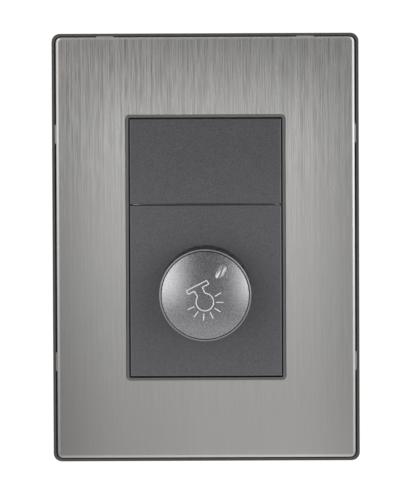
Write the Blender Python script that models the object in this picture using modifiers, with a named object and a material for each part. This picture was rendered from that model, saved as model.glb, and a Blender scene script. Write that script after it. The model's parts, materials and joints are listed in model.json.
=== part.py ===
"""Rotary light dimmer on a modular wall plate, with its blank filler module.

Everything is drawn in the plate's own frame: X to the right, Y up the wall, Z out of the wall.
The empty named wall_frame stands that frame up, so that in the world the plate faces -Y and
its height runs along +Z. The origin is the plate's centre, on the wall's surface.
"""

import math

import bmesh
import bpy
from mathutils import Matrix, Vector

MM = 0.001

# ---- driving dimensions: the plate ----
PLATE_WIDTH = 86 * MM
PLATE_HEIGHT = 120 * MM
PLATE_CORNER = 2.3 * MM
RIM_WIDTH = 0.75 * MM          # front edge of the carrier's rim
RIM_TOP = 8.2 * MM             # how far the rim stands out of the wall
FACE_GAP = 0.42 * MM           # black gap between the rim and the metal face
FACE_THICKNESS = 1.1 * MM
FACE_PROUD = 0.6 * MM          # the metal face stands this far past the rim
FACE_BEVEL = 0.65 * MM
TAB_OUT = 0.24 * MM            # how far the face's locating tabs reach into the gap round it
TAB_LENGTH = 4.8 * MM          # of the two on the top edge; the four on the sides are a little longer
TAPE_THICKNESS = 0.5 * MM
CARRIER_WALL = 1.6 * MM
SKIRT_WALL = 1.5 * MM

# ---- driving dimensions: the modules ----
MODULE_PITCH = 24 * MM         # height of one module
MODULE_WIDTH = 42.4 * MM
MODULE_GAP = 0.25 * MM         # between two modules
MODULE_FRONT = 9.5 * MM        # modules' front face above the wall
MODULE_BEVEL = 0.35 * MM
SHELL_WALL = 1.6 * MM
LIP_WALL = 0.7 * MM            # upstanding lip round the modules
LIP_GAP = 0.35 * MM            # between the lip and the modules, at the sides
LIP_GAP_ENDS = 0.45 * MM       # and above and below them
LIP_TOP = 9.1 * MM
WINDOW_GAP = 0.15 * MM         # between the lip and the metal face
WINDOW_CORNER = 1.2 * MM

# ---- driving dimensions: the mounting frame and its screws ----
FRAME_THICKNESS = 1.8 * MM
FRAME_MARGIN = 11 * MM         # from the plate's edge to the frame's
FRAME_CORNER = 4 * MM
FRAME_CLEAR = 0.4 * MM         # round the module bodies
SCREW_MARGIN = 5.75 * MM       # from the modules to the wall box lugs
SCREW_RADIUS = 1.75 * MM
SCREW_LENGTH = 25 * MM
SCREW_HEAD_RADIUS = 3.4 * MM
SCREW_HEAD = 2.2 * MM
SLOT_LENGTH = 9 * MM
TONGUE_WIDTH = 6 * MM
TONGUE_THICKNESS = 1.5 * MM
TONGUE_GAP = 0.4 * MM

# ---- driving dimensions: the dimmer body ----
HOUSING_DEPTH = 27 * MM        # behind the wall's surface
HOUSING_INSET = 0.7 * MM       # housing's side, inside the fascia's
TUBE_RADIUS = 3.2 * MM
TUBE_BORE = 2.4 * MM
HOUSING_SCREW_RADIUS = 1.1 * MM
BOARD_THICKNESS = 1.6 * MM
BOARD_OUT = -8.5 * MM          # front face of the circuit board
PIN_REACH = 1 * MM             # how far pins stand through the board
TERMINAL_PITCH = 11.5 * MM
TERMINAL_SIZE = 7 * MM
TERMINAL_LENGTH = 10 * MM
TERMINAL_SCREW_RADIUS = 1.4 * MM
WIRE_HOLE_RADIUS = 1.7 * MM

# ---- driving dimensions: the knob and its control ----
KNOB_RADIUS = 12.5 * MM
KNOB_HEIGHT = 14.4 * MM
KNOB_WALL = 1.5 * MM
KNOB_EDGE = 0.5 * MM           # the thin rim round the cap
KNOB_GROOVES = 18
GROOVE_RADIUS = 0.5 * MM
GROOVE_DEPTH = 0.25 * MM
KNOB_ANGLE = 34                # degrees clockwise from straight up, where the pointer stands
CAP_INSET = 0.25 * MM          # gap round the knob's cap
CAP_SEAT = 1.5 * MM            # depth of the recess that the cap sits in
CAP_DOME = 1.2 * MM
DIMPLE_LENGTH = 4.7 * MM
DIMPLE_WIDTH = 1.5 * MM
DIMPLE_DEPTH = 0.35 * MM
SPINDLE_RADIUS = 3 * MM
CONTROL_RADIUS = 8.25 * MM     # the potentiometer's can
CAN_WALL = 0.5 * MM
SWITCH_DEPTH = 7 * MM
SWITCH_THROW = 30              # degrees

# ---- fits ----
GAP = 0.3 * MM                 # between pieces that touch on the real object
RUN = 0.3 * MM                 # radial clearance of turning pieces
STACK = 0.2 * MM               # between flat pieces stacked on each other

# ---- sizes that follow ----
STACK_HEIGHT = 3 * MODULE_PITCH
SCREW_SPACING = STACK_HEIGHT + 2 * SCREW_MARGIN    # 83.5 mm, as on a wall box
DIMMER_UP = -MODULE_PITCH / 2                      # middle of the two lower modules
BLANK_UP = MODULE_PITCH                            # middle of the top module
SPLIT_UP = MODULE_PITCH / 2                        # where the two modules meet
POCKET_FLOOR = RIM_TOP + FACE_PROUD - FACE_THICKNESS - TAPE_THICKNESS - 2 * STACK
FACE_FRONT = RIM_TOP + FACE_PROUD
CARRIER_BACK = POCKET_FLOOR - CARRIER_WALL
LIP_INNER = (MODULE_WIDTH + 2 * LIP_GAP, STACK_HEIGHT + 2 * LIP_GAP_ENDS)
LIP_OUTER = tuple(side + 2 * LIP_WALL for side in LIP_INNER)
FASCIA_BACK = MODULE_FRONT - SHELL_WALL            # inside face of a module's front
SKIRT_END = FRAME_THICKNESS + GAP                  # back edge of a module's skirt
BODY_WIDTH = MODULE_WIDTH - 2 * HOUSING_INSET
BODY_HEIGHT = 2 * MODULE_PITCH - MODULE_GAP - 2 * HOUSING_INSET
INSIDE_X = BODY_WIDTH / 2 - SHELL_WALL             # half the room inside the housing
INSIDE_UP = BODY_HEIGHT / 2 - SHELL_WALL
BOARD_BACK = BOARD_OUT - BOARD_THICKNESS
KNOB_BACK = MODULE_FRONT + GAP
KNOB_FRONT = KNOB_BACK + KNOB_HEIGHT
BUSH_RADIUS = SPINDLE_RADIUS + RUN + 0.8 * MM
TUBE_X = INSIDE_X - TUBE_RADIUS - 0.5 * MM
TUBE_UPS = (INSIDE_UP - TUBE_RADIUS - 0.4 * MM, -INSIDE_UP / 2 + 2.3 * MM)
TERMINAL_UP = -INSIDE_UP + TERMINAL_SIZE / 2 + 0.5 * MM
TERMINAL_FRONT = BOARD_BACK - 2 * MM
TERMINAL_BACK = TERMINAL_FRONT - TERMINAL_LENGTH
WIRE_OUT = TERMINAL_FRONT - 3 * MM                 # the wire holes' axis
TERMINAL_XS = tuple(i * TERMINAL_PITCH for i in (-1, 0, 1))
FRAME_WIDTH = PLATE_WIDTH - 2 * FRAME_MARGIN
FRAME_HEIGHT = PLATE_HEIGHT - FRAME_MARGIN
COLLAR_GAP = 0.3 * MM
COLLAR_WALL = 1.4 * MM
COLLAR_TOP = CARRIER_BACK - GAP
TONGUE_X = (LIP_OUTER[0] + FRAME_WIDTH) / 4
TONGUE_UP = STACK_HEIGHT / 2 - 8 * MM
FINE, ROUND, SMALL = 64, 32, 16                    # sides of round pieces


# ---- the scene ----
def clear_scene():
    for obj in list(bpy.data.objects):
        bpy.data.objects.remove(obj, do_unlink=True)


def new_collection(name):
    collection = bpy.data.collections.new(name)
    bpy.context.scene.collection.children.link(collection)
    return collection


def new_empty(name, parent=None, location=(0, 0, 0), rotation=(0, 0, 0)):
    empty = bpy.data.objects.new(name, None)
    parts.objects.link(empty)
    empty.parent = parent
    empty.location = location
    empty.rotation_euler = rotation
    return empty


def new_material(name, colour, roughness, metallic=0.0):
    made = bpy.data.materials.new(name)
    made.use_nodes = True
    shader = made.node_tree.nodes["Principled BSDF"]
    shader.inputs["Base Color"].default_value = (*colour, 1)
    shader.inputs["Roughness"].default_value = roughness
    shader.inputs["Metallic"].default_value = metallic
    return made


clear_scene()
parts = new_collection("rotary_dimmer")
cutters = new_collection("cutters")
wall_frame = new_empty("wall_frame", rotation=(math.radians(90), 0, 0))
cover_slide = new_empty("cover_slide", wall_frame)
knob_axis = new_empty("knob_axis", wall_frame, (0, DIMMER_UP, 0), (0, 0, -math.radians(KNOB_ANGLE)))

BRUSHED = new_material("brushed_steel", (0.36, 0.35, 0.34), 0.3, 1.0)
CARRIER = new_material("carrier_plastic", (0.045, 0.044, 0.042), 0.45)
FASCIA = new_material("fascia_plastic", (0.095, 0.095, 0.102), 0.5, 0.3)
KNOB_GREY = new_material("knob_plastic", (0.09, 0.09, 0.095), 0.4, 0.2)
CAP_SILVER = new_material("cap_silver", (0.22, 0.22, 0.23), 0.35, 0.8)
NYLON = new_material("frame_nylon", (0.2, 0.2, 0.2), 0.55)
HOUSING = new_material("housing_plastic", (0.03, 0.03, 0.032), 0.5)
STEEL = new_material("zinc_steel", (0.55, 0.55, 0.54), 0.3, 1.0)
BRASS = new_material("brass", (0.6, 0.42, 0.16), 0.3, 1.0)
ALUMINIUM = new_material("aluminium", (0.65, 0.65, 0.66), 0.35, 1.0)
COPPER = new_material("enamelled_copper", (0.5, 0.16, 0.06), 0.3, 1.0)
FERRITE = new_material("ferrite", (0.55, 0.5, 0.12), 0.5)
BOARD = new_material("board_laminate", (0.35, 0.22, 0.08), 0.5)
PHENOLIC = new_material("phenolic", (0.25, 0.1, 0.04), 0.55)
CARBON = new_material("carbon_track", (0.01, 0.01, 0.01), 0.6)
EPOXY = new_material("black_epoxy", (0.015, 0.015, 0.016), 0.4)
FILM_BOX = new_material("capacitor_box", (0.75, 0.5, 0.06), 0.4)
FILM_DIP = new_material("capacitor_dip", (0.08, 0.25, 0.1), 0.35)
CERAMIC = new_material("resistor_body", (0.5, 0.38, 0.2), 0.45)
GLASS = new_material("clear_glass", (0.8, 0.85, 0.85), 0.05)
FOAM = new_material("foam_tape", (0.7, 0.7, 0.68), 0.8)


# ---- shapes ----
def add_object(name, mesh, parent, location=(0, 0, 0), material=None):
    obj = bpy.data.objects.new(name, mesh)
    parts.objects.link(obj)
    obj.parent = parent
    obj.location = location
    if material:
        obj.data.materials.append(material)
    return obj


def block(name, low, high, parent, material=None):
    """A box between two corners."""
    low, high = Vector(low), Vector(high)
    mesh = bpy.data.meshes.new(name)
    bm = bmesh.new()
    bmesh.ops.create_cube(bm, size=1, matrix=Matrix.Diagonal((*(high - low), 1)))
    bm.to_mesh(mesh)
    bm.free()
    return add_object(name, mesh, parent, (low + high) / 2, material)


def rod(name, radius, start, end, parent, material=None, sides=ROUND):
    """A cylinder between two points."""
    start, end = Vector(start), Vector(end)
    mesh = bpy.data.meshes.new(name)
    bm = bmesh.new()
    turn = Vector((0, 0, 1)).rotation_difference(end - start).to_matrix().to_4x4()
    bmesh.ops.create_cone(bm, cap_ends=True, segments=sides, radius1=radius, radius2=radius,
                          depth=(end - start).length, matrix=turn)
    bm.to_mesh(mesh)
    bm.free()
    obj = add_object(name, mesh, parent, (start + end) / 2, material)
    shade_round(mesh)
    return obj


def shade_round(mesh):
    mesh.shade_smooth()
    mesh.set_sharp_from_angle(angle=math.radians(35))


def turned(name, profile, parent, location=(0, 0, 0), material=None, steps=ROUND, closed=False):
    """A profile of (radius, out) points, turned about the Z axis. It runs down its outer side."""
    mesh = bpy.data.meshes.new(name)
    edges = [(i, i + 1) for i in range(len(profile) - 1)]
    if closed:
        edges.append((len(profile) - 1, 0))
    mesh.from_pydata([(radius, 0, out) for radius, out in profile], edges, [])
    obj = add_object(name, mesh, parent, location, material)
    screw = obj.modifiers.new("Screw", "SCREW")
    screw.steps = screw.render_steps = steps
    screw.use_merge_vertices = True
    screw.merge_threshold = 0.00001
    screw.use_smooth_shade = False
    return obj


def ring(name, inner, outer, low, high, parent, location=(0, 0, 0), material=None, steps=ROUND):
    """A flat washer or a tube."""
    profile = [(inner, high), (outer, high), (outer, low), (inner, low)]
    return turned(name, profile, parent, location, material, steps, closed=True)


def rounded_rectangle(width, height, radius, steps=5):
    """The outline's points, anticlockwise from the lower right corner."""
    points = []
    for quarter, (sx, sy) in enumerate(((1, -1), (1, 1), (-1, 1), (-1, -1))):
        centre = Vector((sx * (width / 2 - radius), sy * (height / 2 - radius)))
        for i in range(steps + 1):
            angle = math.radians(-90 + 90 * (quarter + i / steps))
            points.append(centre + radius * Vector((math.cos(angle), math.sin(angle))))
    return points


def outline_solid(name, outlines, low, high, parent, location=(0, 0, 0), material=None):
    """A flat outline with any holes, as a solid between two heights. The first outline is the outer."""
    data = bpy.data.curves.new(name, "CURVE")
    data.dimensions = "2D"
    data.fill_mode = "BOTH"
    data.extrude = (high - low) / 2
    for outline in outlines:
        spline = data.splines.new("POLY")
        spline.points.add(len(outline) - 1)
        spline.use_cyclic_u = True
        for point, at in zip(spline.points, outline):
            point.co = (at[0], at[1], 0, 1)
    curve = bpy.data.objects.new(name, data)
    parts.objects.link(curve)
    curve.parent = parent
    curve.location = Vector(location) + Vector((0, 0, (low + high) / 2))
    if material:
        data.materials.append(material)
    return as_mesh(curve)


def as_mesh(curve):
    """The curve's own solid as a mesh object, in the same place, with its caps welded on."""
    bpy.context.view_layer.update()
    name, parent = curve.name, curve.parent
    graph = bpy.context.evaluated_depsgraph_get()
    mesh = bpy.data.meshes.new_from_object(curve.evaluated_get(graph))
    bm = bmesh.new()
    bm.from_mesh(mesh)
    bmesh.ops.remove_doubles(bm, verts=bm.verts, dist=0.000001)
    bm.to_mesh(mesh)
    bm.free()
    world = curve.matrix_world.copy()
    bpy.data.objects.remove(curve)
    obj = bpy.data.objects.new(name, mesh)
    parts.objects.link(obj)
    obj.parent = parent
    obj.matrix_world = world
    return obj


def wire(name, points, radius, parent, material=None, resolution=2):
    """A round wire through the points."""
    data = bpy.data.curves.new(name, "CURVE")
    data.dimensions = "3D"
    data.bevel_depth = radius
    data.bevel_resolution = resolution
    data.use_fill_caps = True
    spline = data.splines.new("POLY")
    spline.points.add(len(points) - 1)
    for point, at in zip(spline.points, points):
        point.co = (*at, 1)
    curve = bpy.data.objects.new(name, data)
    parts.objects.link(curve)
    curve.parent = parent
    if material:
        data.materials.append(material)
    return as_mesh(curve)


def arc(radius, start, end, count, out=0.0):
    """Points on an arc about the Z axis, angles in degrees from +X."""
    angles = [math.radians(start + (end - start) * i / (count - 1)) for i in range(count)]
    return [Vector((radius * math.cos(a), radius * math.sin(a), out)) for a in angles]


def boolean(target, tool, operation):
    for collection in list(tool.users_collection):
        collection.objects.unlink(tool)
    cutters.objects.link(tool)
    tool.hide_render = True
    tool.display_type = "WIRE"
    modifier = target.modifiers.new(operation.title(), "BOOLEAN")
    modifier.operation = operation
    modifier.solver = "EXACT"
    modifier.object = tool


def cut(target, *tools):
    for tool in tools:
        boolean(target, tool, "DIFFERENCE")


def join(target, *others):
    for other in others:
        boolean(target, other, "UNION")


def bevel_edges(obj, width, test, segments=1):
    """Bevels the edges whose middle passes the test, given in the object's own frame."""
    mesh = obj.data
    weights = mesh.attributes.new("bevel_weight_edge", "FLOAT", "EDGE")
    for edge in mesh.edges:
        middle = (mesh.vertices[edge.vertices[0]].co + mesh.vertices[edge.vertices[1]].co) / 2
        level = abs(mesh.vertices[edge.vertices[0]].co.z - mesh.vertices[edge.vertices[1]].co.z) < 1e-6
        weights.data[edge.index].value = 1.0 if level and test(middle) else 0.0
    modifier = obj.modifiers.new("Bevel", "BEVEL")
    modifier.limit_method = "WEIGHT"
    modifier.width = width
    modifier.segments = segments
    modifier.use_clamp_overlap = True


def front_edge(obj):
    """A test for the level edges of the object's front face."""
    top = max(vertex.co.z for vertex in obj.data.vertices)
    return lambda middle: abs(middle.z - top) < 1e-6


def cross_recess(target, name, centre, depth, span, parent):
    """A crosshead driver recess, cut into a head whose top is at the centre point."""
    x, y, top = centre
    width = span / 4
    for tag, half_x, half_y in (("a", span / 2, width / 2), ("b", width / 2, span / 2)):
        cut(target, block(f"{name}_{tag}", (x - half_x, y - half_y, top - depth),
                          (x + half_x, y + half_y, top + depth), parent))


# ---- the cover: metal face, tape and carrier, which pull off together ----
def face_outline_size():
    return (PLATE_WIDTH - 2 * RIM_WIDTH - 2 * FACE_GAP, PLATE_HEIGHT - 2 * RIM_WIDTH - 2 * FACE_GAP)


def window_size():
    return tuple(side + 2 * WINDOW_GAP for side in LIP_OUTER)


def make_face_plate():
    width, height = face_outline_size()
    corner = PLATE_CORNER - RIM_WIDTH
    plate = outline_solid("face_plate", [rounded_rectangle(width, height, corner)],
                          FACE_FRONT - FACE_THICKNESS, FACE_FRONT, cover_slide, material=BRUSHED)
    bevel_edges(plate, FACE_BEVEL, front_edge(plate))
    window = rounded_rectangle(*window_size(), WINDOW_CORNER)
    cut(plate, outline_solid("window_cut", [window], 0, FACE_FRONT + MM, cover_slide))
    low, high = FACE_FRONT - FACE_THICKNESS + 0.05 * MM, FACE_FRONT - FACE_BEVEL - 0.1 * MM
    for side in (-1, 1):
        across = sorted((side * (width / 2 - MM), side * (width / 2 + TAB_OUT)))
        for at in (-1, 1):
            middle_up = at * height * 0.271
            join(plate, block(f"tab_side_{side}_{at}", (across[0], middle_up - TAB_LENGTH * 0.54, low),
                              (across[1], middle_up + TAB_LENGTH * 0.54, high), cover_slide))
        middle_x = side * width * 0.335
        join(plate, block(f"tab_top_{side}", (middle_x - TAB_LENGTH / 2, height / 2 - MM, low),
                          (middle_x + TAB_LENGTH / 2, height / 2 + TAB_OUT, high), cover_slide))


def make_face_tape():
    width, height = face_outline_size()
    inset = 3 * MM
    outer = rounded_rectangle(width - 2 * inset, height - 2 * inset, PLATE_CORNER, 2)
    inner = rounded_rectangle(*(side + 2 * inset for side in LIP_OUTER), WINDOW_CORNER, 2)
    low = POCKET_FLOOR + STACK
    outline_solid("face_tape", [outer, inner], low, low + TAPE_THICKNESS, cover_slide, material=FOAM)


def make_carrier_frame():
    outer = rounded_rectangle(PLATE_WIDTH, PLATE_HEIGHT, PLATE_CORNER)
    carrier = outline_solid("carrier_frame", [outer], STACK, RIM_TOP, cover_slide, material=CARRIER)
    bevel_edges(carrier, 0.25 * MM, front_edge(carrier))
    pocket = rounded_rectangle(PLATE_WIDTH - 2 * RIM_WIDTH, PLATE_HEIGHT - 2 * RIM_WIDTH,
                               PLATE_CORNER - RIM_WIDTH / 2)
    cut(carrier, outline_solid("pocket_cut", [pocket], POCKET_FLOOR, RIM_TOP + MM, cover_slide))
    hollow = rounded_rectangle(PLATE_WIDTH - 2 * SKIRT_WALL, PLATE_HEIGHT - 2 * SKIRT_WALL,
                               PLATE_CORNER - RIM_WIDTH / 2)
    cut(carrier, outline_solid("hollow_cut", [hollow], -MM, CARRIER_BACK, cover_slide))
    lip = outline_solid("lip_block", [rounded_rectangle(*LIP_OUTER, WINDOW_CORNER - WINDOW_GAP)],
                        CARRIER_BACK + CARRIER_WALL / 2, LIP_TOP, cover_slide)
    bevel_edges(lip, 0.15 * MM, front_edge(lip))
    join(carrier, lip)
    opening = rounded_rectangle(*LIP_INNER, 0.3 * MM, 2)
    cut(carrier, outline_solid("opening_cut", [opening], -MM, LIP_TOP + MM, cover_slide))
    for name, tool in carrier_ribs():
        join(carrier, tool)
    for side_x in (-1, 1):
        for side_up in (-1, 1):
            join(carrier, ratchet_tongue(f"tongue_{side_x}_{side_up}", side_x, side_up))


def carrier_ribs():
    """Stiffening ribs on the carrier's back, clear of the mounting frame."""
    made = []
    root = CARRIER_BACK + CARRIER_WALL / 2
    reach = CARRIER_BACK - 1.2 * MM
    half_x, half_up = PLATE_WIDTH / 2 - SKIRT_WALL / 2, PLATE_HEIGHT / 2 - SKIRT_WALL / 2
    for i, x in enumerate((-0.36, -0.14, 0.14, 0.36)):
        for side in (-1, 1):
            at = side * (PLATE_HEIGHT / 2 - 4 * MM)
            ends = sorted((at - side * 5 * MM, side * half_up))
            made.append((i, block(f"rib_up_{i}_{side}", (x * PLATE_WIDTH - 0.5 * MM, ends[0], reach),
                                  (x * PLATE_WIDTH + 0.5 * MM, ends[1], root), cover_slide)))
    for i, up in enumerate((-0.3, 0, 0.3)):
        for side in (-1, 1):
            ends = sorted((side * (half_x - 5 * MM), side * half_x))
            made.append((i, block(f"rib_side_{i}_{side}", (ends[0], up * PLATE_HEIGHT - 0.5 * MM, reach),
                                  (ends[1], up * PLATE_HEIGHT + 0.5 * MM, root), cover_slide)))
    return made


def ratchet_tongue(name, side_x, side_up):
    """A tongue that goes back into a slot of the mounting frame, with a row of shallow teeth."""
    x, up = side_x * TONGUE_X, side_up * TONGUE_UP
    half_w, half_t = TONGUE_WIDTH / 2, TONGUE_THICKNESS / 2
    end = STACK + 0.2 * MM
    tongue = block(name, (x - half_t, up - half_w, end),
                   (x + half_t, up + half_w, CARRIER_BACK + CARRIER_WALL / 2), cover_slide)
    for i in range(3):
        low = end + (0.5 + i) * MM
        cut(tongue, block(f"{name}_tooth_{i}", (x + half_t - 0.3 * MM, up - half_w - MM, low),
                          (x + half_t + MM, up + half_w + MM, low + 0.5 * MM), cover_slide))
    return tongue


# ---- the mounting frame and its two screws ----
def make_mounting_frame():
    outer = rounded_rectangle(FRAME_WIDTH, FRAME_HEIGHT, FRAME_CORNER, 4)
    frame = outline_solid("mounting_frame", [outer], 0, FRAME_THICKNESS, wall_frame, material=NYLON)
    collar_inner = [side + 2 * COLLAR_GAP for side in (MODULE_WIDTH, STACK_HEIGHT)]
    collar_outer = [side + 2 * COLLAR_WALL for side in collar_inner]
    join(frame, outline_solid("collar_block", [rounded_rectangle(*collar_outer, 1.5 * MM, 2)],
                              FRAME_THICKNESS / 2, COLLAR_TOP, wall_frame))
    body_hole = (BODY_WIDTH + 2 * FRAME_CLEAR, STACK_HEIGHT - 2 * HOUSING_INSET + 2 * FRAME_CLEAR)
    for name, (width, height), low in (("collar_cut", collar_inner, FRAME_THICKNESS),
                                       ("body_hole_cut", body_hole, -MM)):
        cut(frame, block(name, (-width / 2, -height / 2, low), (width / 2, height / 2, COLLAR_TOP + MM),
                         wall_frame))
    slot_half = SCREW_RADIUS + GAP
    for side in (-1, 1):
        slot = rounded_rectangle(SLOT_LENGTH, 2 * slot_half, slot_half * 0.98, 6)
        cut(frame, outline_solid(f"slot_cut_{side}", [slot], -MM, FRAME_THICKNESS + MM, wall_frame,
                                 (0, side * SCREW_SPACING / 2, 0)))
        for side_x in (-1, 1):
            corner_x = side_x * (FRAME_WIDTH / 2 - 6 * MM)
            corner_up = side * (FRAME_HEIGHT / 2 - 6 * MM)
            cut(frame, rod(f"corner_hole_{side}_{side_x}", 1.9 * MM, (corner_x, corner_up, -MM),
                           (corner_x, corner_up, FRAME_THICKNESS + MM), wall_frame, sides=SMALL))
            cut(frame, tongue_slot(f"tongue_slot_{side}_{side_x}", side_x, side))
    rim = FRAME_THICKNESS + 1.2 * MM
    for side in (-1, 1):
        edge = side * (FRAME_WIDTH / 2 - FRAME_CORNER / 4)
        join(frame, block(f"edge_rib_{side}", (edge - 0.6 * MM, -TONGUE_UP + 2 * MM, FRAME_THICKNESS / 2),
                          (edge + 0.6 * MM, TONGUE_UP - 2 * MM, rim), wall_frame))


def tongue_slot(name, side_x, side_up):
    x, up = side_x * TONGUE_X, side_up * TONGUE_UP
    half_t, half_w = TONGUE_THICKNESS / 2 + TONGUE_GAP, TONGUE_WIDTH / 2 + TONGUE_GAP
    return block(name, (x - half_t, up - half_w, -MM), (x + half_t, up + half_w, FRAME_THICKNESS + MM),
                 wall_frame)


def make_fixing_screw(name, up):
    seat = FRAME_THICKNESS + STACK
    top = seat + SCREW_HEAD
    profile = [(0, top), (SCREW_HEAD_RADIUS * 0.72, top), (SCREW_HEAD_RADIUS, seat + SCREW_HEAD * 0.45),
               (SCREW_HEAD_RADIUS, seat), (SCREW_RADIUS, seat), (SCREW_RADIUS, seat + 2 * MM - SCREW_LENGTH),
               (SCREW_RADIUS * 0.55, seat - SCREW_LENGTH), (0, seat - SCREW_LENGTH)]
    screw = turned(name, profile, wall_frame, (0, up, 0), STEEL, steps=20)
    cross_recess(screw, f"{name}_recess", (0, up, top), 1.2 * MM, 3.4 * MM, wall_frame)


# ---- the modules' shells ----
def module_shell(name, low, high, material):
    """A module's front with its skirt, hollow from behind, between two heights up the wall."""
    half_x, inner_x = MODULE_WIDTH / 2, MODULE_WIDTH / 2 - SHELL_WALL
    shell = block(name, (-half_x, low, SKIRT_END), (half_x, high, MODULE_FRONT), wall_frame, material)
    bevel_edges(shell, MODULE_BEVEL, front_edge(shell), 2)
    cut(shell, block(f"{name}_hollow", (-inner_x, low + SHELL_WALL, SKIRT_END - MM),
                     (inner_x, high - SHELL_WALL, FASCIA_BACK), wall_frame))
    return shell


def snap_nose(name, side, up, half_width):
    """The nose behind the mounting frame that keeps a module in it."""
    outer = BODY_WIDTH / 2
    ends = sorted((side * (outer - SHELL_WALL / 2), side * (outer + FRAME_CLEAR + 0.5 * MM)))
    return block(name, (ends[0], up - half_width, -2.4 * MM), (ends[1], up + half_width, -GAP), wall_frame)


def snap_leg(name, side, up, half_width):
    """A springy leg that passes through the mounting frame, with a nose at its side."""
    outer = BODY_WIDTH / 2
    ends = sorted((side * (outer - SHELL_WALL), side * outer))
    leg = block(name, (ends[0], up - half_width, -7 * MM), (ends[1], up + half_width, SKIRT_END + 2 * MM),
                wall_frame)
    join(leg, snap_nose(f"{name}_nose", side, up, half_width - 0.5 * MM))
    return leg


def make_blank_insert():
    blank = module_shell("blank_insert", SPLIT_UP + MODULE_GAP / 2, STACK_HEIGHT / 2, FASCIA)
    for side in (-1, 1):
        join(blank, snap_leg(f"blank_leg_{side}", side, BLANK_UP, MODULE_PITCH / 5))
    root = FASCIA_BACK + SHELL_WALL / 2
    half_up = MODULE_PITCH / 2 - SHELL_WALL
    for i in (-1, 0, 1):
        x = i * MODULE_WIDTH / 4
        join(blank, block(f"blank_rib_{i}", (x - 0.6 * MM, BLANK_UP - half_up, SKIRT_END + 2 * MM),
                          (x + 0.6 * MM, BLANK_UP + half_up, root), wall_frame))


def tube_places():
    """(name ending, x, up) of the four screw tubes that hold housing and fascia together."""
    return [(f"{row}_{side}", sx * TUBE_X, DIMMER_UP + up)
            for row, up in zip(("top", "low"), TUBE_UPS)
            for side, sx in (("left", -1), ("right", 1))]


def make_dimmer_fascia():
    fascia = module_shell("dimmer_fascia", -STACK_HEIGHT / 2, SPLIT_UP - MODULE_GAP / 2, FASCIA)
    cut(fascia, rod("bush_hole_cut", BUSH_RADIUS + GAP, (0, DIMMER_UP, FASCIA_BACK - MM),
                    (0, DIMMER_UP, MODULE_FRONT + MM), wall_frame))
    post_end = SKIRT_END
    for tag, x, up in tube_places():
        post = rod(f"post_{tag}", TUBE_RADIUS - 0.6 * MM, (x, up, post_end),
                   (x, up, FASCIA_BACK + SHELL_WALL / 2), wall_frame, sides=SMALL)
        join(fascia, post)
        pilot = HOUSING_SCREW_RADIUS + GAP
        cut(fascia, rod(f"pilot_{tag}", pilot, (x, up, post_end - MM), (x, up, FASCIA_BACK - MM),
                        wall_frame, sides=SMALL))


def make_dimmer_housing():
    half_x, half_up = BODY_WIDTH / 2, BODY_HEIGHT / 2
    housing = block("dimmer_housing", (-half_x, DIMMER_UP - half_up, -HOUSING_DEPTH),
                    (half_x, DIMMER_UP + half_up, SKIRT_END - GAP), wall_frame, HOUSING)
    back = min(vertex.co.z for vertex in housing.data.vertices)
    bevel_edges(housing, 0.8 * MM, lambda middle: abs(middle.z - back) < 1e-6)
    cut(housing, block("housing_hollow", (-INSIDE_X, DIMMER_UP - INSIDE_UP, SHELL_WALL - HOUSING_DEPTH),
                       (INSIDE_X, DIMMER_UP + INSIDE_UP, SKIRT_END + MM), wall_frame))
    shoulder = -1.5 * MM
    for tag, x, up in tube_places():
        join(housing, rod(f"tube_{tag}", TUBE_RADIUS, (x, up, SHELL_WALL / 2 - HOUSING_DEPTH),
                          (x, up, SKIRT_END - GAP), wall_frame, sides=20))
        cut(housing, rod(f"tube_bore_{tag}", TUBE_BORE, (x, up, -HOUSING_DEPTH - MM), (x, up, shoulder),
                         wall_frame, sides=SMALL))
        cut(housing, rod(f"tube_hole_{tag}", HOUSING_SCREW_RADIUS + GAP, (x, up, shoulder - MM),
                         (x, up, SKIRT_END + MM), wall_frame, sides=SMALL))
    wall_out = -HOUSING_DEPTH
    for i, x in enumerate(TERMINAL_XS):
        up = DIMMER_UP + TERMINAL_UP
        cut(housing, rod(f"driver_hole_{i}", WIRE_HOLE_RADIUS + 0.2 * MM, (x, up, wall_out - MM),
                         (x, up, wall_out + SHELL_WALL + MM), wall_frame, sides=20))
        cut(housing, rod(f"wire_hole_{i}", WIRE_HOLE_RADIUS + 0.2 * MM,
                         (x, DIMMER_UP - half_up - MM, WIRE_OUT), (x, DIMMER_UP - INSIDE_UP + MM, WIRE_OUT),
                         wall_frame, sides=SMALL))
    for i in range(-3, 4):
        x = i * 3 * MM
        cut(housing, block(f"vent_{i}", (x - 0.6 * MM, DIMMER_UP + INSIDE_UP - MM, -HOUSING_DEPTH + 4 * MM),
                           (x + 0.6 * MM, DIMMER_UP + half_up + MM, BOARD_BACK - MM), wall_frame))
    for side in (-1, 1):
        join(housing, snap_nose(f"housing_nose_{side}", side, DIMMER_UP, 5 * MM))


def make_housing_screw(tag, x, up):
    """A small self-tapping screw, driven from behind into the fascia's post."""
    seat = -1.5 * MM - STACK
    head, tip = 1.6 * MM, SKIRT_END + 4 * MM
    profile = [(0, tip), (HOUSING_SCREW_RADIUS, tip - MM), (HOUSING_SCREW_RADIUS, seat),
               (TUBE_BORE - GAP, seat), (TUBE_BORE - GAP, seat - head), (0, seat - head)]
    screw = turned(f"housing_screw_{tag}", profile, wall_frame, (x, up, 0), STEEL, steps=SMALL)
    cross_recess(screw, f"housing_recess_{tag}", (x, up, seat - head), 0.7 * MM, 2.2 * MM, wall_frame)


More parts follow.
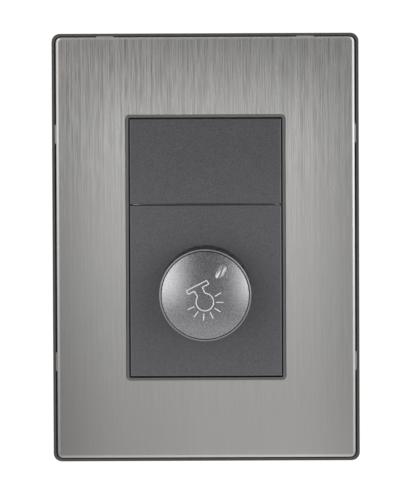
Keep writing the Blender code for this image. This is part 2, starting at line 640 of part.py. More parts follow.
# ---- the circuit board and what stands on it ----
def make_circuit_board():
    half_x = INSIDE_X - 0.4 * MM
    half_up = INSIDE_UP - 0.4 * MM
    board = block("circuit_board", (-half_x, DIMMER_UP - half_up, BOARD_BACK),
                  (half_x, DIMMER_UP + half_up, BOARD_OUT), wall_frame, BOARD)
    for tag, x, up in tube_places():
        cut(board, rod(f"board_hole_{tag}", TUBE_RADIUS + GAP, (x, up, BOARD_BACK - MM),
                       (x, up, BOARD_OUT + MM), wall_frame, sides=20))
        edge = math.copysign(half_x + MM, x)
        ends = sorted((x, edge))
        cut(board, block(f"board_notch_{tag}", (ends[0], up - TUBE_RADIUS - GAP * 0.9, BOARD_BACK - MM),
                         (ends[1], up + TUBE_RADIUS + GAP * 0.9, BOARD_OUT + MM), wall_frame))
    for i, (x, up) in enumerate(pin_places() + switch_pin_places()):
        cut(board, block(f"pin_hole_{i}", (x - 0.95 * MM, up - 0.6 * MM, BOARD_BACK - MM),
                         (x + 0.95 * MM, up + 0.6 * MM, BOARD_OUT + MM), wall_frame))


def make_heat_sink():
    up = DIMMER_UP + HEAT_SINK_UP
    plate = block("heat_sink", (-HEAT_SINK_X, up, HEAT_SINK_BACK), (HEAT_SINK_X, up + 1.5 * MM, HEAT_SINK_FRONT),
                  wall_frame, ALUMINIUM)
    cut(plate, rod("sink_hole", TRIAC_SCREW + GAP, (0, up - MM, TRIAC_HOLE_OUT),
                   (0, up + 3 * MM, TRIAC_HOLE_OUT), wall_frame, sides=SMALL))


HEAT_SINK_UP = INSIDE_UP - 4.4 * MM                # the plate's lower face
HEAT_SINK_X = TUBE_X - TUBE_RADIUS - 0.5 * MM
HEAT_SINK_FRONT = BOARD_BACK - MM
HEAT_SINK_BACK = SHELL_WALL - HOUSING_DEPTH + 0.8 * MM
TRIAC_THICKNESS = 2.7 * MM
TRIAC_WIDTH = 7.8 * MM
TRIAC_LENGTH = 10.8 * MM
TRIAC_BACK = HEAT_SINK_BACK
TRIAC_HOLE_OUT = TRIAC_BACK + 3.6 * MM
TRIAC_SCREW = 1.4 * MM


def make_triac():
    top = DIMMER_UP + HEAT_SINK_UP - GAP
    low = top - TRIAC_THICKNESS
    front = TRIAC_BACK + TRIAC_LENGTH
    triac = block("triac", (-TRIAC_WIDTH / 2, low, TRIAC_BACK), (TRIAC_WIDTH / 2, top, front),
                  wall_frame, EPOXY)
    cut(triac, rod("triac_hole", TRIAC_SCREW + GAP, (0, low - MM, TRIAC_HOLE_OUT),
                   (0, top + MM, TRIAC_HOLE_OUT), wall_frame, sides=SMALL))
    middle = (low + top) / 2
    for i in (-1, 0, 1):
        x = i * 2.3 * MM
        join(triac, block(f"triac_leg_{i}", (x - 0.4 * MM, middle - 0.3 * MM, front - MM),
                          (x + 0.4 * MM, middle + 0.3 * MM, BOARD_BACK - STACK), wall_frame))
    head = 1.8 * MM
    under = low - STACK
    screw = rod("triac_screw", TRIAC_SCREW, (0, under - head / 2, TRIAC_HOLE_OUT),
                (0, DIMMER_UP + INSIDE_UP - 0.4 * MM, TRIAC_HOLE_OUT), wall_frame, STEEL, SMALL)
    join(screw, rod("triac_screw_head", 2 * TRIAC_SCREW, (0, under - head, TRIAC_HOLE_OUT),
                    (0, under, TRIAC_HOLE_OUT), wall_frame, sides=20))
    nut_low = DIMMER_UP + HEAT_SINK_UP + 1.5 * MM + STACK
    nut = rod("triac_nut", 2 * TRIAC_SCREW, (0, nut_low, TRIAC_HOLE_OUT),
              (0, nut_low + 1.6 * MM, TRIAC_HOLE_OUT), wall_frame, STEEL, 6)
    cut(nut, rod("triac_nut_hole", TRIAC_SCREW + GAP, (0, nut_low - MM, TRIAC_HOLE_OUT),
                 (0, nut_low + 3 * MM, TRIAC_HOLE_OUT), wall_frame, sides=SMALL))


CHOKE_OUTER = 6.9 * MM
CHOKE_INNER = 3.6 * MM
CHOKE_HEIGHT = 6 * MM
CHOKE_WIRE = 0.4 * MM
CHOKE_TURNS = 12


def choke_centre():
    reach = CHOKE_OUTER + GAP + 2 * CHOKE_WIRE
    low = BOARD_BACK - PIN_REACH - GAP - 2 * CHOKE_WIRE - GAP
    return Vector((-(INSIDE_X - reach - 0.8 * MM), DIMMER_UP + TUBE_UPS[0] - TUBE_RADIUS - reach,
                   low - CHOKE_HEIGHT / 2))


def make_choke():
    """A suppression choke: a ring core with a winding that goes round its section."""
    centre = choke_centre()
    ring("choke_core", CHOKE_INNER, CHOKE_OUTER, -CHOKE_HEIGHT / 2, CHOKE_HEIGHT / 2, wall_frame,
         centre, FERRITE)
    clear = GAP + CHOKE_WIRE
    inner, outer = CHOKE_INNER - clear, CHOKE_OUTER + clear
    half = CHOKE_HEIGHT / 2 + clear
    corner = 0.5 * MM
    section = [(outer, -half + corner), (outer, half - corner), (outer - corner, half),
               (inner + corner, half), (inner, half - corner), (inner, -half + corner),
               (inner + corner, -half), (outer - corner, -half)]
    points = []
    span = math.radians(320)
    total = CHOKE_TURNS * len(section)
    for i in range(total):
        radius, out = section[i % len(section)]
        angle = math.radians(110) + span * i / total
        points.append(centre + Vector((radius * math.cos(angle), radius * math.sin(angle), out)))
    wire("choke_winding", points, CHOKE_WIRE, wall_frame, COPPER, 1)


def make_box_capacitor():
    low = (0.9 * MM, DIMMER_UP + HEAT_SINK_UP - 11.4 * MM, BOARD_BACK - STACK - 11 * MM)
    high = (low[0] + 13 * MM, low[1] + 5 * MM, BOARD_BACK - STACK)
    box = block("suppression_capacitor", low, high, wall_frame, FILM_BOX)
    back = min(vertex.co.z for vertex in box.data.vertices)
    bevel_edges(box, 0.4 * MM, lambda middle: abs(middle.z - back) < 1e-6)


def make_dipped_capacitor():
    x, up = 7.4 * MM, DIMMER_UP + HEAT_SINK_UP - 14.6 * MM
    front = BOARD_BACK - MM
    body = block("timing_capacitor", (x - 3.6 * MM, up - 1.3 * MM, front - 6 * MM),
                 (x + 3.6 * MM, up + 1.3 * MM, front), wall_frame, FILM_DIP)
    bevel = body.modifiers.new("Bevel", "BEVEL")
    bevel.width = 0.8 * MM
    bevel.segments = 2
    for side in (-1, 1):
        join(body, block(f"dip_leg_{side}", (x + side * 2.5 * MM - 0.3 * MM, up - 0.3 * MM, front - MM),
                         (x + side * 2.5 * MM + 0.3 * MM, up + 0.3 * MM, BOARD_BACK - STACK), wall_frame))


def make_axial(name, radius, length, x, up, material):
    """A small part lying on the board, on two bent legs."""
    out = BOARD_BACK - STACK - radius - 0.4 * MM
    body = rod(name, radius, (x - length / 2, up, out), (x + length / 2, up, out), wall_frame, material, SMALL)
    for side in (-1, 1):
        elbow = x + side * (length / 2 + 1.2 * MM)
        ends = sorted((x + side * (length / 2 - 0.5 * MM), elbow))
        leg = block(f"{name}_lead_{side}", (ends[0], up - 0.3 * MM, out - 0.3 * MM),
                    (ends[1], up + 0.3 * MM, out + 0.3 * MM), wall_frame)
        join(body, leg)
        join(body, block(f"{name}_foot_{side}", (elbow - 0.3 * MM, up - 0.29 * MM, out - 0.31 * MM),
                         (elbow + 0.3 * MM, up + 0.31 * MM, BOARD_BACK - STACK), wall_frame))


FUSE_RADIUS = 2.5 * MM
FUSE_HALF = 10 * MM


def make_fuse():
    """A glass fuse in two spring clips."""
    up = DIMMER_UP + TUBE_UPS[1] - MM
    out = BOARD_BACK - FUSE_RADIUS - 2 * MM
    rod("fuse_glass", FUSE_RADIUS - 0.4 * MM, (-FUSE_HALF + 0.8 * MM, up, out),
        (FUSE_HALF - 0.8 * MM, up, out), wall_frame, GLASS, 20)
    for side, tag in ((-1, "left"), (1, "right")):
        end, inner = side * FUSE_HALF, side * (FUSE_HALF - 4 * MM)
        cap = rod(f"fuse_cap_{tag}", FUSE_RADIUS, (inner, up, out), (end, up, out), wall_frame, STEEL, 20)
        cut(cap, rod(f"fuse_cap_bore_{tag}", FUSE_RADIUS - 0.2 * MM, (inner - side * MM, up, out),
                     (end - side * 0.5 * MM, up, out), wall_frame, sides=20))
        middle = (end + inner) / 2
        wide, tall = FUSE_RADIUS + GAP, FUSE_RADIUS + 0.8 * MM
        clip = block(f"fuse_clip_{tag}", (middle - 1.4 * MM, up - wide - 0.5 * MM, out - tall * 0.5),
                     (middle + 1.4 * MM, up + wide + 0.5 * MM, BOARD_BACK - STACK), wall_frame, BRASS)
        cut(clip, block(f"clip_gap_{tag}", (middle - 3 * MM, up - wide, out - tall),
                        (middle + 3 * MM, up + wide, out + FUSE_RADIUS + GAP), wall_frame))


def make_terminal(i, x):
    """A brass clamp with its screw: the wire comes in from below, the screw from behind."""
    half = TERMINAL_SIZE / 2
    up = DIMMER_UP + TERMINAL_UP
    clamp = block(f"terminal_clamp_{i}", (x - half, up - half, TERMINAL_BACK), (x + half, up + half, TERMINAL_FRONT),
                  wall_frame, BRASS)
    cut(clamp, rod(f"wire_bore_{i}", WIRE_HOLE_RADIUS, (x, up - half - MM, WIRE_OUT),
                   (x, up + half + MM, WIRE_OUT), wall_frame, sides=SMALL))
    cut(clamp, rod(f"screw_bore_{i}", TERMINAL_SCREW_RADIUS + GAP, (x, up, TERMINAL_BACK - MM),
                   (x, up, WIRE_OUT), wall_frame, sides=SMALL))
    join(clamp, block(f"clamp_leg_{i}", (x - MM, up + half - 1.5 * MM, TERMINAL_FRONT - MM),
                      (x + MM, up + half - 0.7 * MM, BOARD_BACK - STACK), wall_frame))
    head = 1.8 * MM
    seat = TERMINAL_BACK - MM
    screw = rod(f"terminal_screw_{i}", TERMINAL_SCREW_RADIUS, (x, up, seat - head / 2),
                (x, up, WIRE_OUT - WIRE_HOLE_RADIUS * 0.5), wall_frame, STEEL, SMALL)
    join(screw, rod(f"terminal_head_{i}", 2.3 * MM, (x, up, seat - head), (x, up, seat), wall_frame, sides=20))
    cut(screw, block(f"terminal_slot_{i}", (x - 3 * MM, up - 0.35 * MM, seat - head - MM),
                     (x + 3 * MM, up + 0.35 * MM, seat - head + 0.8 * MM), wall_frame))


# ---- the potentiometer with its switch, behind the knob ----
PLATE_BACK = FASCIA_BACK - GAP - 1.5 * MM          # back of the potentiometer's front plate
WAFER_FRONT = PLATE_BACK - GAP
WAFER_BACK = WAFER_FRONT - MM
WAFER_TAIL = CONTROL_RADIUS + 3 * MM
TAIL_HALF = 0.66 * CONTROL_RADIUS                  # half the width of the wafer's tail
TRACK_OUTER = CONTROL_RADIUS - 1.6 * MM
TRACK_INNER = TRACK_OUTER - 1.8 * MM
TRACK_BACK = WAFER_BACK - 0.45 * MM
WIPER_FRONT = TRACK_BACK - GAP
ROTOR_FRONT = WIPER_FRONT - 0.4 * MM - STACK
ROTOR_BACK = ROTOR_FRONT - 1.8 * MM
CAN_BACK = ROTOR_BACK - GAP - CAN_WALL
SWITCH_FRONT = CAN_BACK - GAP
SWITCH_BACK = SWITCH_FRONT - SWITCH_DEPTH
SWITCH_INSIDE = CONTROL_RADIUS - 1.1 * MM
PIVOT_RADIUS = 0.7 * MM
SPINDLE_TAIL = SWITCH_FRONT - 3.2 * MM
FINGER_REACH = SPINDLE_RADIUS * 0.55 + 1.6 * MM
BUSH_END = MODULE_FRONT + 4.1 * MM
SPINDLE_TOP = KNOB_FRONT - CAP_SEAT - 3 * MM
LEVER_HUB = PIVOT_RADIUS + RUN + 0.6 * MM
PIVOT_UP = SWITCH_INSIDE - LEVER_HUB - GAP          # lever pivot, above the spindle
BRIDGE_DROP = PIVOT_RADIUS + GAP + 1.1 * MM        # the bridging contact, below the pivot
SWITCH_FLOOR = SWITCH_BACK + 1.2 * MM
LEVER_BACK = SWITCH_FLOOR + 2.6 * MM
LEVER_FRONT = LEVER_BACK + MM
BRIDGE_BACK = LEVER_BACK - STACK - 0.4 * MM


def pin_places():
    return [(i * 0.8 * TAIL_HALF, DIMMER_UP - WAFER_TAIL + 1.2 * MM) for i in (-1, 0, 1)]


def switch_pin_places():
    return [(side * 2.2 * MM, DIMMER_UP + PIVOT_UP - BRIDGE_DROP) for side in (-1, 1)]


def make_potentiometer():
    centre = (0, DIMMER_UP, 0)
    bore = SPINDLE_RADIUS + RUN
    front = FASCIA_BACK - GAP
    profile = [(bore, BUSH_END), (BUSH_RADIUS, BUSH_END), (BUSH_RADIUS, front), (CONTROL_RADIUS, front),
               (CONTROL_RADIUS, PLATE_BACK), (bore, PLATE_BACK)]
    turned("control_bush", profile, wall_frame, centre, BRASS, closed=True)
    washer_low = MODULE_FRONT + STACK
    ring("control_washer", BUSH_RADIUS + GAP, BUSH_RADIUS + 2.4 * MM, washer_low, washer_low + 0.5 * MM,
         wall_frame, centre, STEEL)
    nut_low = washer_low + 0.5 * MM + STACK
    nut = rod("control_nut", BUSH_RADIUS + 2.2 * MM, (0, DIMMER_UP, nut_low), (0, DIMMER_UP, nut_low + 2 * MM),
              wall_frame, STEEL, 6)
    cut(nut, rod("nut_bore", BUSH_RADIUS + GAP, (0, DIMMER_UP, nut_low - MM), (0, DIMMER_UP, nut_low + 3 * MM),
                 wall_frame, sides=24))
    wafer = ring("track_wafer", bore + 0.4 * MM, CONTROL_RADIUS - CAN_WALL - GAP, WAFER_BACK, WAFER_FRONT,
                 wall_frame, centre, PHENOLIC)
    join(wafer, block("wafer_tail", (-TAIL_HALF, DIMMER_UP - WAFER_TAIL, WAFER_BACK + 0.02 * MM),
                      (TAIL_HALF, DIMMER_UP - 0.55 * CONTROL_RADIUS, WAFER_FRONT - 0.02 * MM), wall_frame))
    outline = arc(TRACK_OUTER, -60, 240, 25) + arc(TRACK_INNER, 240, -60, 25)
    outline_solid("resistance_track", [outline], TRACK_BACK, TRACK_BACK + 0.2 * MM, wall_frame, centre, CARBON)
    for tag, (x, up) in zip(("left", "middle", "right"), pin_places()):
        block(f"control_pin_{tag}", (x - 0.6 * MM, up - 0.25 * MM, BOARD_BACK - PIN_REACH),
              (x + 0.6 * MM, up + 0.25 * MM, WAFER_BACK - STACK), wall_frame, BRASS)
    can_front = PLATE_BACK - GAP
    profile = [(CONTROL_RADIUS - CAN_WALL, can_front), (CONTROL_RADIUS, can_front), (CONTROL_RADIUS, CAN_BACK),
               (bore + 0.4 * MM, CAN_BACK), (bore + 0.4 * MM, CAN_BACK + CAN_WALL),
               (CONTROL_RADIUS - CAN_WALL, CAN_BACK + CAN_WALL)]
    can = turned("control_can", profile, wall_frame, centre, STEEL, closed=True)
    notch_half = TAIL_HALF + GAP
    notch_top = math.sqrt((CONTROL_RADIUS - CAN_WALL) ** 2 - notch_half ** 2) - 0.2 * MM
    cut(can, block("can_notch", (-notch_half, DIMMER_UP - CONTROL_RADIUS - MM, WAFER_BACK - GAP),
                   (notch_half, DIMMER_UP - notch_top, can_front + MM), wall_frame))


def make_switch():
    """The on/off switch behind the potentiometer: its case, pivot post and two fixed contacts."""
    centre = (0, DIMMER_UP, 0)
    profile = [(0, SWITCH_FLOOR), (SWITCH_INSIDE, SWITCH_FLOOR), (SWITCH_INSIDE, SWITCH_FRONT),
               (CONTROL_RADIUS, SWITCH_FRONT), (CONTROL_RADIUS, SWITCH_BACK), (0, SWITCH_BACK)]
    case = turned("switch_case", profile, wall_frame, centre, PHENOLIC)
    pivot_up = DIMMER_UP + PIVOT_UP
    join(case, rod("pivot_post", PIVOT_RADIUS, (0, pivot_up, SWITCH_FLOOR - 0.5 * MM),
                   (0, pivot_up, LEVER_FRONT), wall_frame, sides=12))
    half_w, half_t = 0.6 * MM, 0.25 * MM
    for (x, up), tag in zip(switch_pin_places(), ("left", "right")):
        cut(case, block(f"switch_slit_{tag}", (x - half_w - GAP, up - half_t - GAP, SWITCH_BACK - MM),
                        (x + half_w + GAP, up + half_t + GAP, SWITCH_FLOOR + MM), wall_frame))
        block(f"switch_contact_{tag}", (x - half_w, up - half_t, BOARD_BACK - PIN_REACH),
              (x + half_w, up + half_t, BRIDGE_BACK - GAP), wall_frame, BRASS)


def make_switch_lever():
    """The toggle that the spindle's finger throws, and the bridging contact that it carries."""
    pivot = new_empty("switch_pivot", wall_frame, (0, DIMMER_UP + PIVOT_UP, 0))
    lever = rod("switch_lever", LEVER_HUB, (0, 0, LEVER_BACK), (0, 0, LEVER_FRONT), pivot, NYLON, 20)
    arm_reach = PIVOT_UP - FINGER_REACH - GAP
    join(lever, block("lever_arm", (-0.5 * MM, -arm_reach, LEVER_BACK + 0.02 * MM),
                      (0.5 * MM, 0, LEVER_FRONT - 0.02 * MM), pivot))
    cut(lever, rod("lever_bore", PIVOT_RADIUS + RUN, (0, 0, LEVER_BACK - MM), (0, 0, LEVER_FRONT + MM), pivot,
                   sides=SMALL))
    bridge = block("bridge_contact", (-2.9 * MM, -BRIDGE_DROP - 0.5 * MM, BRIDGE_BACK),
                   (2.9 * MM, -BRIDGE_DROP + 0.5 * MM, BRIDGE_BACK + 0.4 * MM), pivot, BRASS)
    bend = bridge.modifiers.new("Bevel", "BEVEL")
    bend.width = 0.08 * MM
    bend.segments = 1


# ---- the knob and everything that turns with it ----
def make_spindle():
    """The shaft, with a flat for the knob, a narrow tail and the finger that throws the switch."""
    top = SPINDLE_TOP
    tail = SPINDLE_RADIUS * 0.55
    step = ROTOR_BACK - 0.1 * MM
    profile = [(0, top), (SPINDLE_RADIUS - 0.4 * MM, top), (SPINDLE_RADIUS, top - 0.4 * MM),
               (SPINDLE_RADIUS, step), (tail, step), (tail, SPINDLE_TAIL), (0, SPINDLE_TAIL)]
    spindle = turned("spindle", profile, knob_axis, material=ALUMINIUM, steps=24)
    flat = SPINDLE_RADIUS * 0.55
    cut(spindle, block("spindle_flat", (-2 * SPINDLE_RADIUS, -2 * SPINDLE_RADIUS, top - 6 * MM),
                       (2 * SPINDLE_RADIUS, -flat, top + MM), knob_axis))
    join(spindle, block("spindle_finger", (-0.5 * MM, 0, SPINDLE_TAIL + 0.3 * MM),
                        (0.5 * MM, FINGER_REACH - GAP, SPINDLE_TAIL + 1.6 * MM), knob_axis))


def make_rotor():
    """The moulded disc on the spindle's tail, and the wiper that runs on the track."""
    bore = SPINDLE_RADIUS + GAP
    ring("wiper_rotor", bore, CONTROL_RADIUS - CAN_WALL - 1.1 * MM, ROTOR_BACK, ROTOR_FRONT, knob_axis,
         material=NYLON)
    middle = (TRACK_INNER + TRACK_OUTER) / 2
    wiper = ring("wiper_contact", bore, TRACK_INNER - GAP, WIPER_FRONT - 0.4 * MM, WIPER_FRONT, knob_axis,
                 material=BRASS, steps=24)
    for side in (-1, 1):
        x = side * 0.9 * MM
        join(wiper, block(f"wiper_arm_{side}", (x - 0.35 * MM, TRACK_INNER - 1.2 * MM, WIPER_FRONT - 0.38 * MM),
                          (x + 0.35 * MM, middle, WIPER_FRONT - 0.02 * MM), knob_axis))


def make_circlip():
    low = BUSH_END + STACK
    outline = arc(SPINDLE_RADIUS + 1.3 * MM, 110, 430, 25) + arc(SPINDLE_RADIUS + GAP, 430, 110, 25)
    outline_solid("spindle_circlip", [outline], low, low + 0.5 * MM, knob_axis, material=STEEL)


def make_knob_body():
    """A fluted cup: hollow from behind round a hub for the spindle, with a recess for the cap in front."""
    cap_floor = KNOB_FRONT - CAP_SEAT
    web_back = cap_floor - 1.6 * MM
    ring_inner = KNOB_RADIUS - KNOB_EDGE
    inner = KNOB_RADIUS - KNOB_WALL
    chamfer = 0.15 * MM
    hub, bore = SPINDLE_RADIUS + GAP + 1.6 * MM, SPINDLE_RADIUS + 0.2 * MM
    hub_back = BUSH_END + 1.2 * MM
    profile = [(0, cap_floor), (ring_inner, cap_floor), (ring_inner, KNOB_FRONT),
               (KNOB_RADIUS - chamfer, KNOB_FRONT), (KNOB_RADIUS, KNOB_FRONT - chamfer),
               (KNOB_RADIUS, KNOB_BACK), (inner, KNOB_BACK), (inner, web_back), (hub, web_back),
               (hub, hub_back), (bore, hub_back), (bore, SPINDLE_TOP + GAP), (0, SPINDLE_TOP + GAP)]
    knob = turned("knob_body", profile, knob_axis, material=KNOB_GREY, steps=3 * KNOB_GROOVES)
    for i in range(KNOB_GROOVES):
        angle = math.radians(90 + 360 * i / KNOB_GROOVES)
        reach = KNOB_RADIUS + GROOVE_RADIUS - GROOVE_DEPTH
        x, up = reach * math.cos(angle), reach * math.sin(angle)
        cut(knob, rod(f"groove_{i}", GROOVE_RADIUS, (x, up, KNOB_BACK - MM), (x, up, KNOB_FRONT + MM),
                      knob_axis, sides=8))


def make_knob_cap():
    """The domed disc let into the knob's front, with the pointer dimple."""
    low = KNOB_FRONT - CAP_SEAT + STACK
    radius = KNOB_RADIUS - KNOB_EDGE - CAP_INSET
    steps = 5
    dome_radius = (radius ** 2 + CAP_DOME ** 2) / (2 * CAP_DOME)
    dome_centre = KNOB_FRONT + CAP_DOME - dome_radius
    slope = math.asin(radius / dome_radius)
    dome = [(dome_radius * math.sin(slope * i / steps), dome_centre + dome_radius * math.cos(slope * i / steps))
            for i in range(steps + 1)]
    cap = turned("knob_cap", dome + [(radius, low), (0, low)], knob_axis, material=CAP_SILVER, steps=48)
    lean = math.asin(0.65 * radius / dome_radius)
    lift = dome_radius + 0.4 * DIMPLE_DEPTH
    mesh = bpy.data.meshes.new("dimple_cut")
    bm = bmesh.new()
    size = Matrix.Diagonal((0.53 * DIMPLE_WIDTH, 0.53 * DIMPLE_LENGTH, 1.4 * DIMPLE_DEPTH, 1))
    bmesh.ops.create_uvsphere(bm, u_segments=16, v_segments=8, radius=1,
                              matrix=Matrix.Rotation(-lean, 4, "X") @ size)
    bm.to_mesh(mesh)
    bm.free()
    at = (0, lift * math.sin(lean), dome_centre + lift * math.cos(lean))
    cut(cap, add_object("dimple_cut", mesh, knob_axis, at))


def make_knob_clip():
    """The steel spring that squeezes the hub on to the spindle."""
    radius = SPINDLE_RADIUS + GAP + 1.6 * MM + 0.3 * MM + 0.35 * MM
    out = BUSH_END + 3.4 * MM
    points = arc(radius, 120, 420, 25, out)
    wire("knob_spring_clip", points, 0.35 * MM, knob_axis, STEEL, 1)


make_carrier_frame()
make_face_plate()
make_face_tape()
make_mounting_frame()
make_fixing_screw("fixing_screw_top", SCREW_SPACING / 2)
make_fixing_screw("fixing_screw_bottom", -SCREW_SPACING / 2)
make_blank_insert()
make_dimmer_fascia()
make_dimmer_housing()
for tube_tag, tube_x, tube_up in tube_places():
    make_housing_screw(tube_tag, tube_x, tube_up)
make_circuit_board()
make_heat_sink()
make_triac()
make_choke()
make_box_capacitor()
make_dipped_capacitor()
# below both the switch's pins and the dipped capacitor, whichever is lower
resistor_up = min(PIVOT_UP - BRIDGE_DROP - 4 * MM, HEAT_SINK_UP - 18 * MM)
make_axial("resistor_fixed", 1.15 * MM, 6.3 * MM, 4.6 * MM, DIMMER_UP + resistor_up, CERAMIC)
make_axial("resistor_filter", 1.15 * MM, 6.3 * MM, -7 * MM, DIMMER_UP + HEAT_SINK_UP - 20 * MM, CERAMIC)
make_axial("diac", 0.95 * MM, 4 * MM, 14.5 * MM, DIMMER_UP + HEAT_SINK_UP - 16 * MM, EPOXY)
make_fuse()
for index, terminal_x in enumerate(TERMINAL_XS, 1):
    make_terminal(index, terminal_x)
make_potentiometer()
make_switch()
make_switch_lever()
make_spindle()
make_rotor()
make_circlip()
make_knob_body()
make_knob_cap()
make_knob_clip()
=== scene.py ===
# %% [markdown]
# # A rotary light dimmer, from bare solids to a finished look
# The dimmer is already built as exact solids: a metal face let into a dark carrier, a blank
# module, and a dimmer module with a fluted knob. This lesson gives them their surfaces. We load
# the solids as a fixed frame, then add finer pieces only where the solids are too plain.

import json
import math

import bmesh
import bpy
from mathutils import Matrix, Vector


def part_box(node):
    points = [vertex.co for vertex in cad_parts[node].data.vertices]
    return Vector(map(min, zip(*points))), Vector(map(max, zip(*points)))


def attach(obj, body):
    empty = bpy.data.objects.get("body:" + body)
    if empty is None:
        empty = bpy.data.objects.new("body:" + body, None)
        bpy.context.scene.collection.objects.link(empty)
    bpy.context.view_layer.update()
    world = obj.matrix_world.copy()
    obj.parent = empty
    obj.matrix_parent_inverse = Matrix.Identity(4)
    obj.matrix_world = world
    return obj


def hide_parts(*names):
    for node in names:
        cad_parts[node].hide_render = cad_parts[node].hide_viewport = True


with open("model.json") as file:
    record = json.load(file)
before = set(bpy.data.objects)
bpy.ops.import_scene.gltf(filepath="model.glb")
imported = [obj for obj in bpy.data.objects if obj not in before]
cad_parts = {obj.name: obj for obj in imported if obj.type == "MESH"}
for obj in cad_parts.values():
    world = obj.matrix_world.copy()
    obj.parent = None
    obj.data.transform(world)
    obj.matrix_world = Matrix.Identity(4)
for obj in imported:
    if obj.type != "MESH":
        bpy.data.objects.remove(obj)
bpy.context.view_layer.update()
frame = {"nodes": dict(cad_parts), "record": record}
scene = bpy.context.scene
nodes = frame["nodes"]
MM = 0.001

# %% [markdown]
# ## Sizes that the looks share
# Every place is read from the solids, so a finer piece lands exactly where its solid was. Blender
# works in metres, and the front of the dimmer faces -Y. We keep two habits: "out" is the distance
# from the wall, which is -Y, and a flat shape is drawn as (across, up). The knob's pointer is
# turned 34 degrees clockwise from straight up, and everything on the knob turns with it.

# %% Read the places from the solids
def size_of(node):
    low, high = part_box(node)
    return Vector(high) - Vector(low)


def front_of(node):
    return -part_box(node)[0][1]


def back_of(node):
    return -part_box(node)[1][1]


knob_low, knob_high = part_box("knob_body")
KNOB_UP = (knob_low[2] + knob_high[2]) / 2
KNOB_FRONT, KNOB_BACK = front_of("knob_body"), back_of("knob_body")
KNOB_TURN = math.radians(34)
FACE_FRONT, FACE_BACK = front_of("face_plate"), back_of("face_plate")
print(f"the knob's axis is {KNOB_UP / MM:.2f} mm up, the face is {FACE_FRONT / MM:.2f} mm out")

# %% [markdown]
# ## The camera
# Flat things are shown with a long lens, square on, so that their edges stay parallel. The
# camera stands a little above the middle and leans down by just over half a degree. A small lens
# shift brings the plate back to the centre, as a shift lens does for buildings. A roll of a
# quarter of a degree and a nudge of less than half a millimetre finish the framing.

# %% Make the camera
DISTANCE, SUBJECT_OUT = 0.4, 0.0082
RIGHT, ABOVE = 0.0058, 0.0235
LEAN, ROLL = math.radians(0.6), math.radians(0.24)
NUDGE_RIGHT, NUDGE_DOWN = 0.00044, 0.00037
VIEW_HEIGHT = 0.1379
SENSOR = 36

camera = bpy.data.objects.new("camera", bpy.data.cameras.new("camera"))
scene.collection.objects.link(camera)
camera.data.sensor_width = SENSOR
camera.data.lens = SENSOR * DISTANCE / VIEW_HEIGHT
camera.data.shift_x = -(RIGHT + NUDGE_RIGHT) / VIEW_HEIGHT
camera.data.shift_y = -(ABOVE - NUDGE_DOWN - DISTANCE * math.tan(LEAN)) / VIEW_HEIGHT
camera.matrix_world = (
    Matrix.Translation((RIGHT, -DISTANCE - SUBJECT_OUT, ABOVE))
    @ Matrix.Rotation(math.pi / 2 - LEAN, 4, "X")
    @ Matrix.Rotation(-ROLL, 4, "Z")
)
scene.camera = camera
scene.view_settings.view_transform = "Standard"
print("lens", round(camera.data.lens, 1), "mm, shift", round(camera.data.shift_y, 3))

# %% [markdown]
# ## Writing node trees as sums
# A tree of nodes is a formula. Wiring it by hand takes a line for each link, so a small class
# holds one socket and answers Python's operators by adding Math nodes. Then `1 - mask * 0.3` is
# both readable and a real node tree. The same class serves shaders and Geometry Nodes.

# %% A socket with arithmetic on it
class Wire:
    """One output socket, with Python's arithmetic on it."""

    def __init__(self, graph, socket):
        self.graph, self.socket = graph, socket

    def __add__(self, other):
        return self.graph.maths("ADD", self, other)

    def __sub__(self, other):
        return self.graph.maths("SUBTRACT", self, other)

    def __rsub__(self, other):
        return self.graph.maths("SUBTRACT", other, self)

    def __mul__(self, other):
        return self.graph.maths("MULTIPLY", self, other)

    def __truediv__(self, other):
        return self.graph.maths("DIVIDE", self, other)

    def __pow__(self, other):
        return self.graph.maths("POWER", self, other)

    __radd__, __rmul__ = __add__, __mul__

    def out(self, name):
        """Another output of the same node."""
        return Wire(self.graph, self.socket.node.outputs[name])


print("a wire answers + - * / **")

# %% A tree with one call to a node
class Graph:
    """A node tree that is written one call to a node."""

    def __init__(self, tree):
        self.tree = tree

    def node(self, kind, settings=None, inputs=None, output=0):
        made = self.tree.nodes.new(kind)
        for name, value in (settings or {}).items():
            setattr(made, name, value)
        for name, value in (inputs or {}).items():
            self.feed(made.inputs[name], value)
        return Wire(self, made.outputs[output])

    def feed(self, socket, value):
        if isinstance(value, Wire):
            self.tree.links.new(value.socket, socket)
        else:
            socket.default_value = value

    def maths(self, operation, *values):
        return self.node("ShaderNodeMath", {"operation": operation}, dict(enumerate(values)))

    def step(self, value, low, high, to_low=0.0, to_high=1.0):
        """A soft step from one level to another as the value goes from low to high."""
        return self.node("ShaderNodeMapRange", {"interpolation_type": "SMOOTHSTEP"},
                         {0: value, 1: low, 2: high, 3: to_low, 4: to_high})

    def mix(self, factor, first, second):
        """A colour between two others. The numbers are the Mix node's colour sockets."""
        return self.node("ShaderNodeMix", {"data_type": "RGBA"},
                         {0: factor, 6: first, 7: second}, output=2)


print("a graph adds nodes, steps and mixes")

# %% [markdown]
# ## Materials that know their own size
# All patterns read Object coordinates and are stretched to millimetres, so that a grain of 0.3 mm
# stays 0.3 mm on every piece. Noise is the raw material of nearly all of them: fine for the
# sparkle of paint, drawn out a hundred times along one axis for brushed steel.

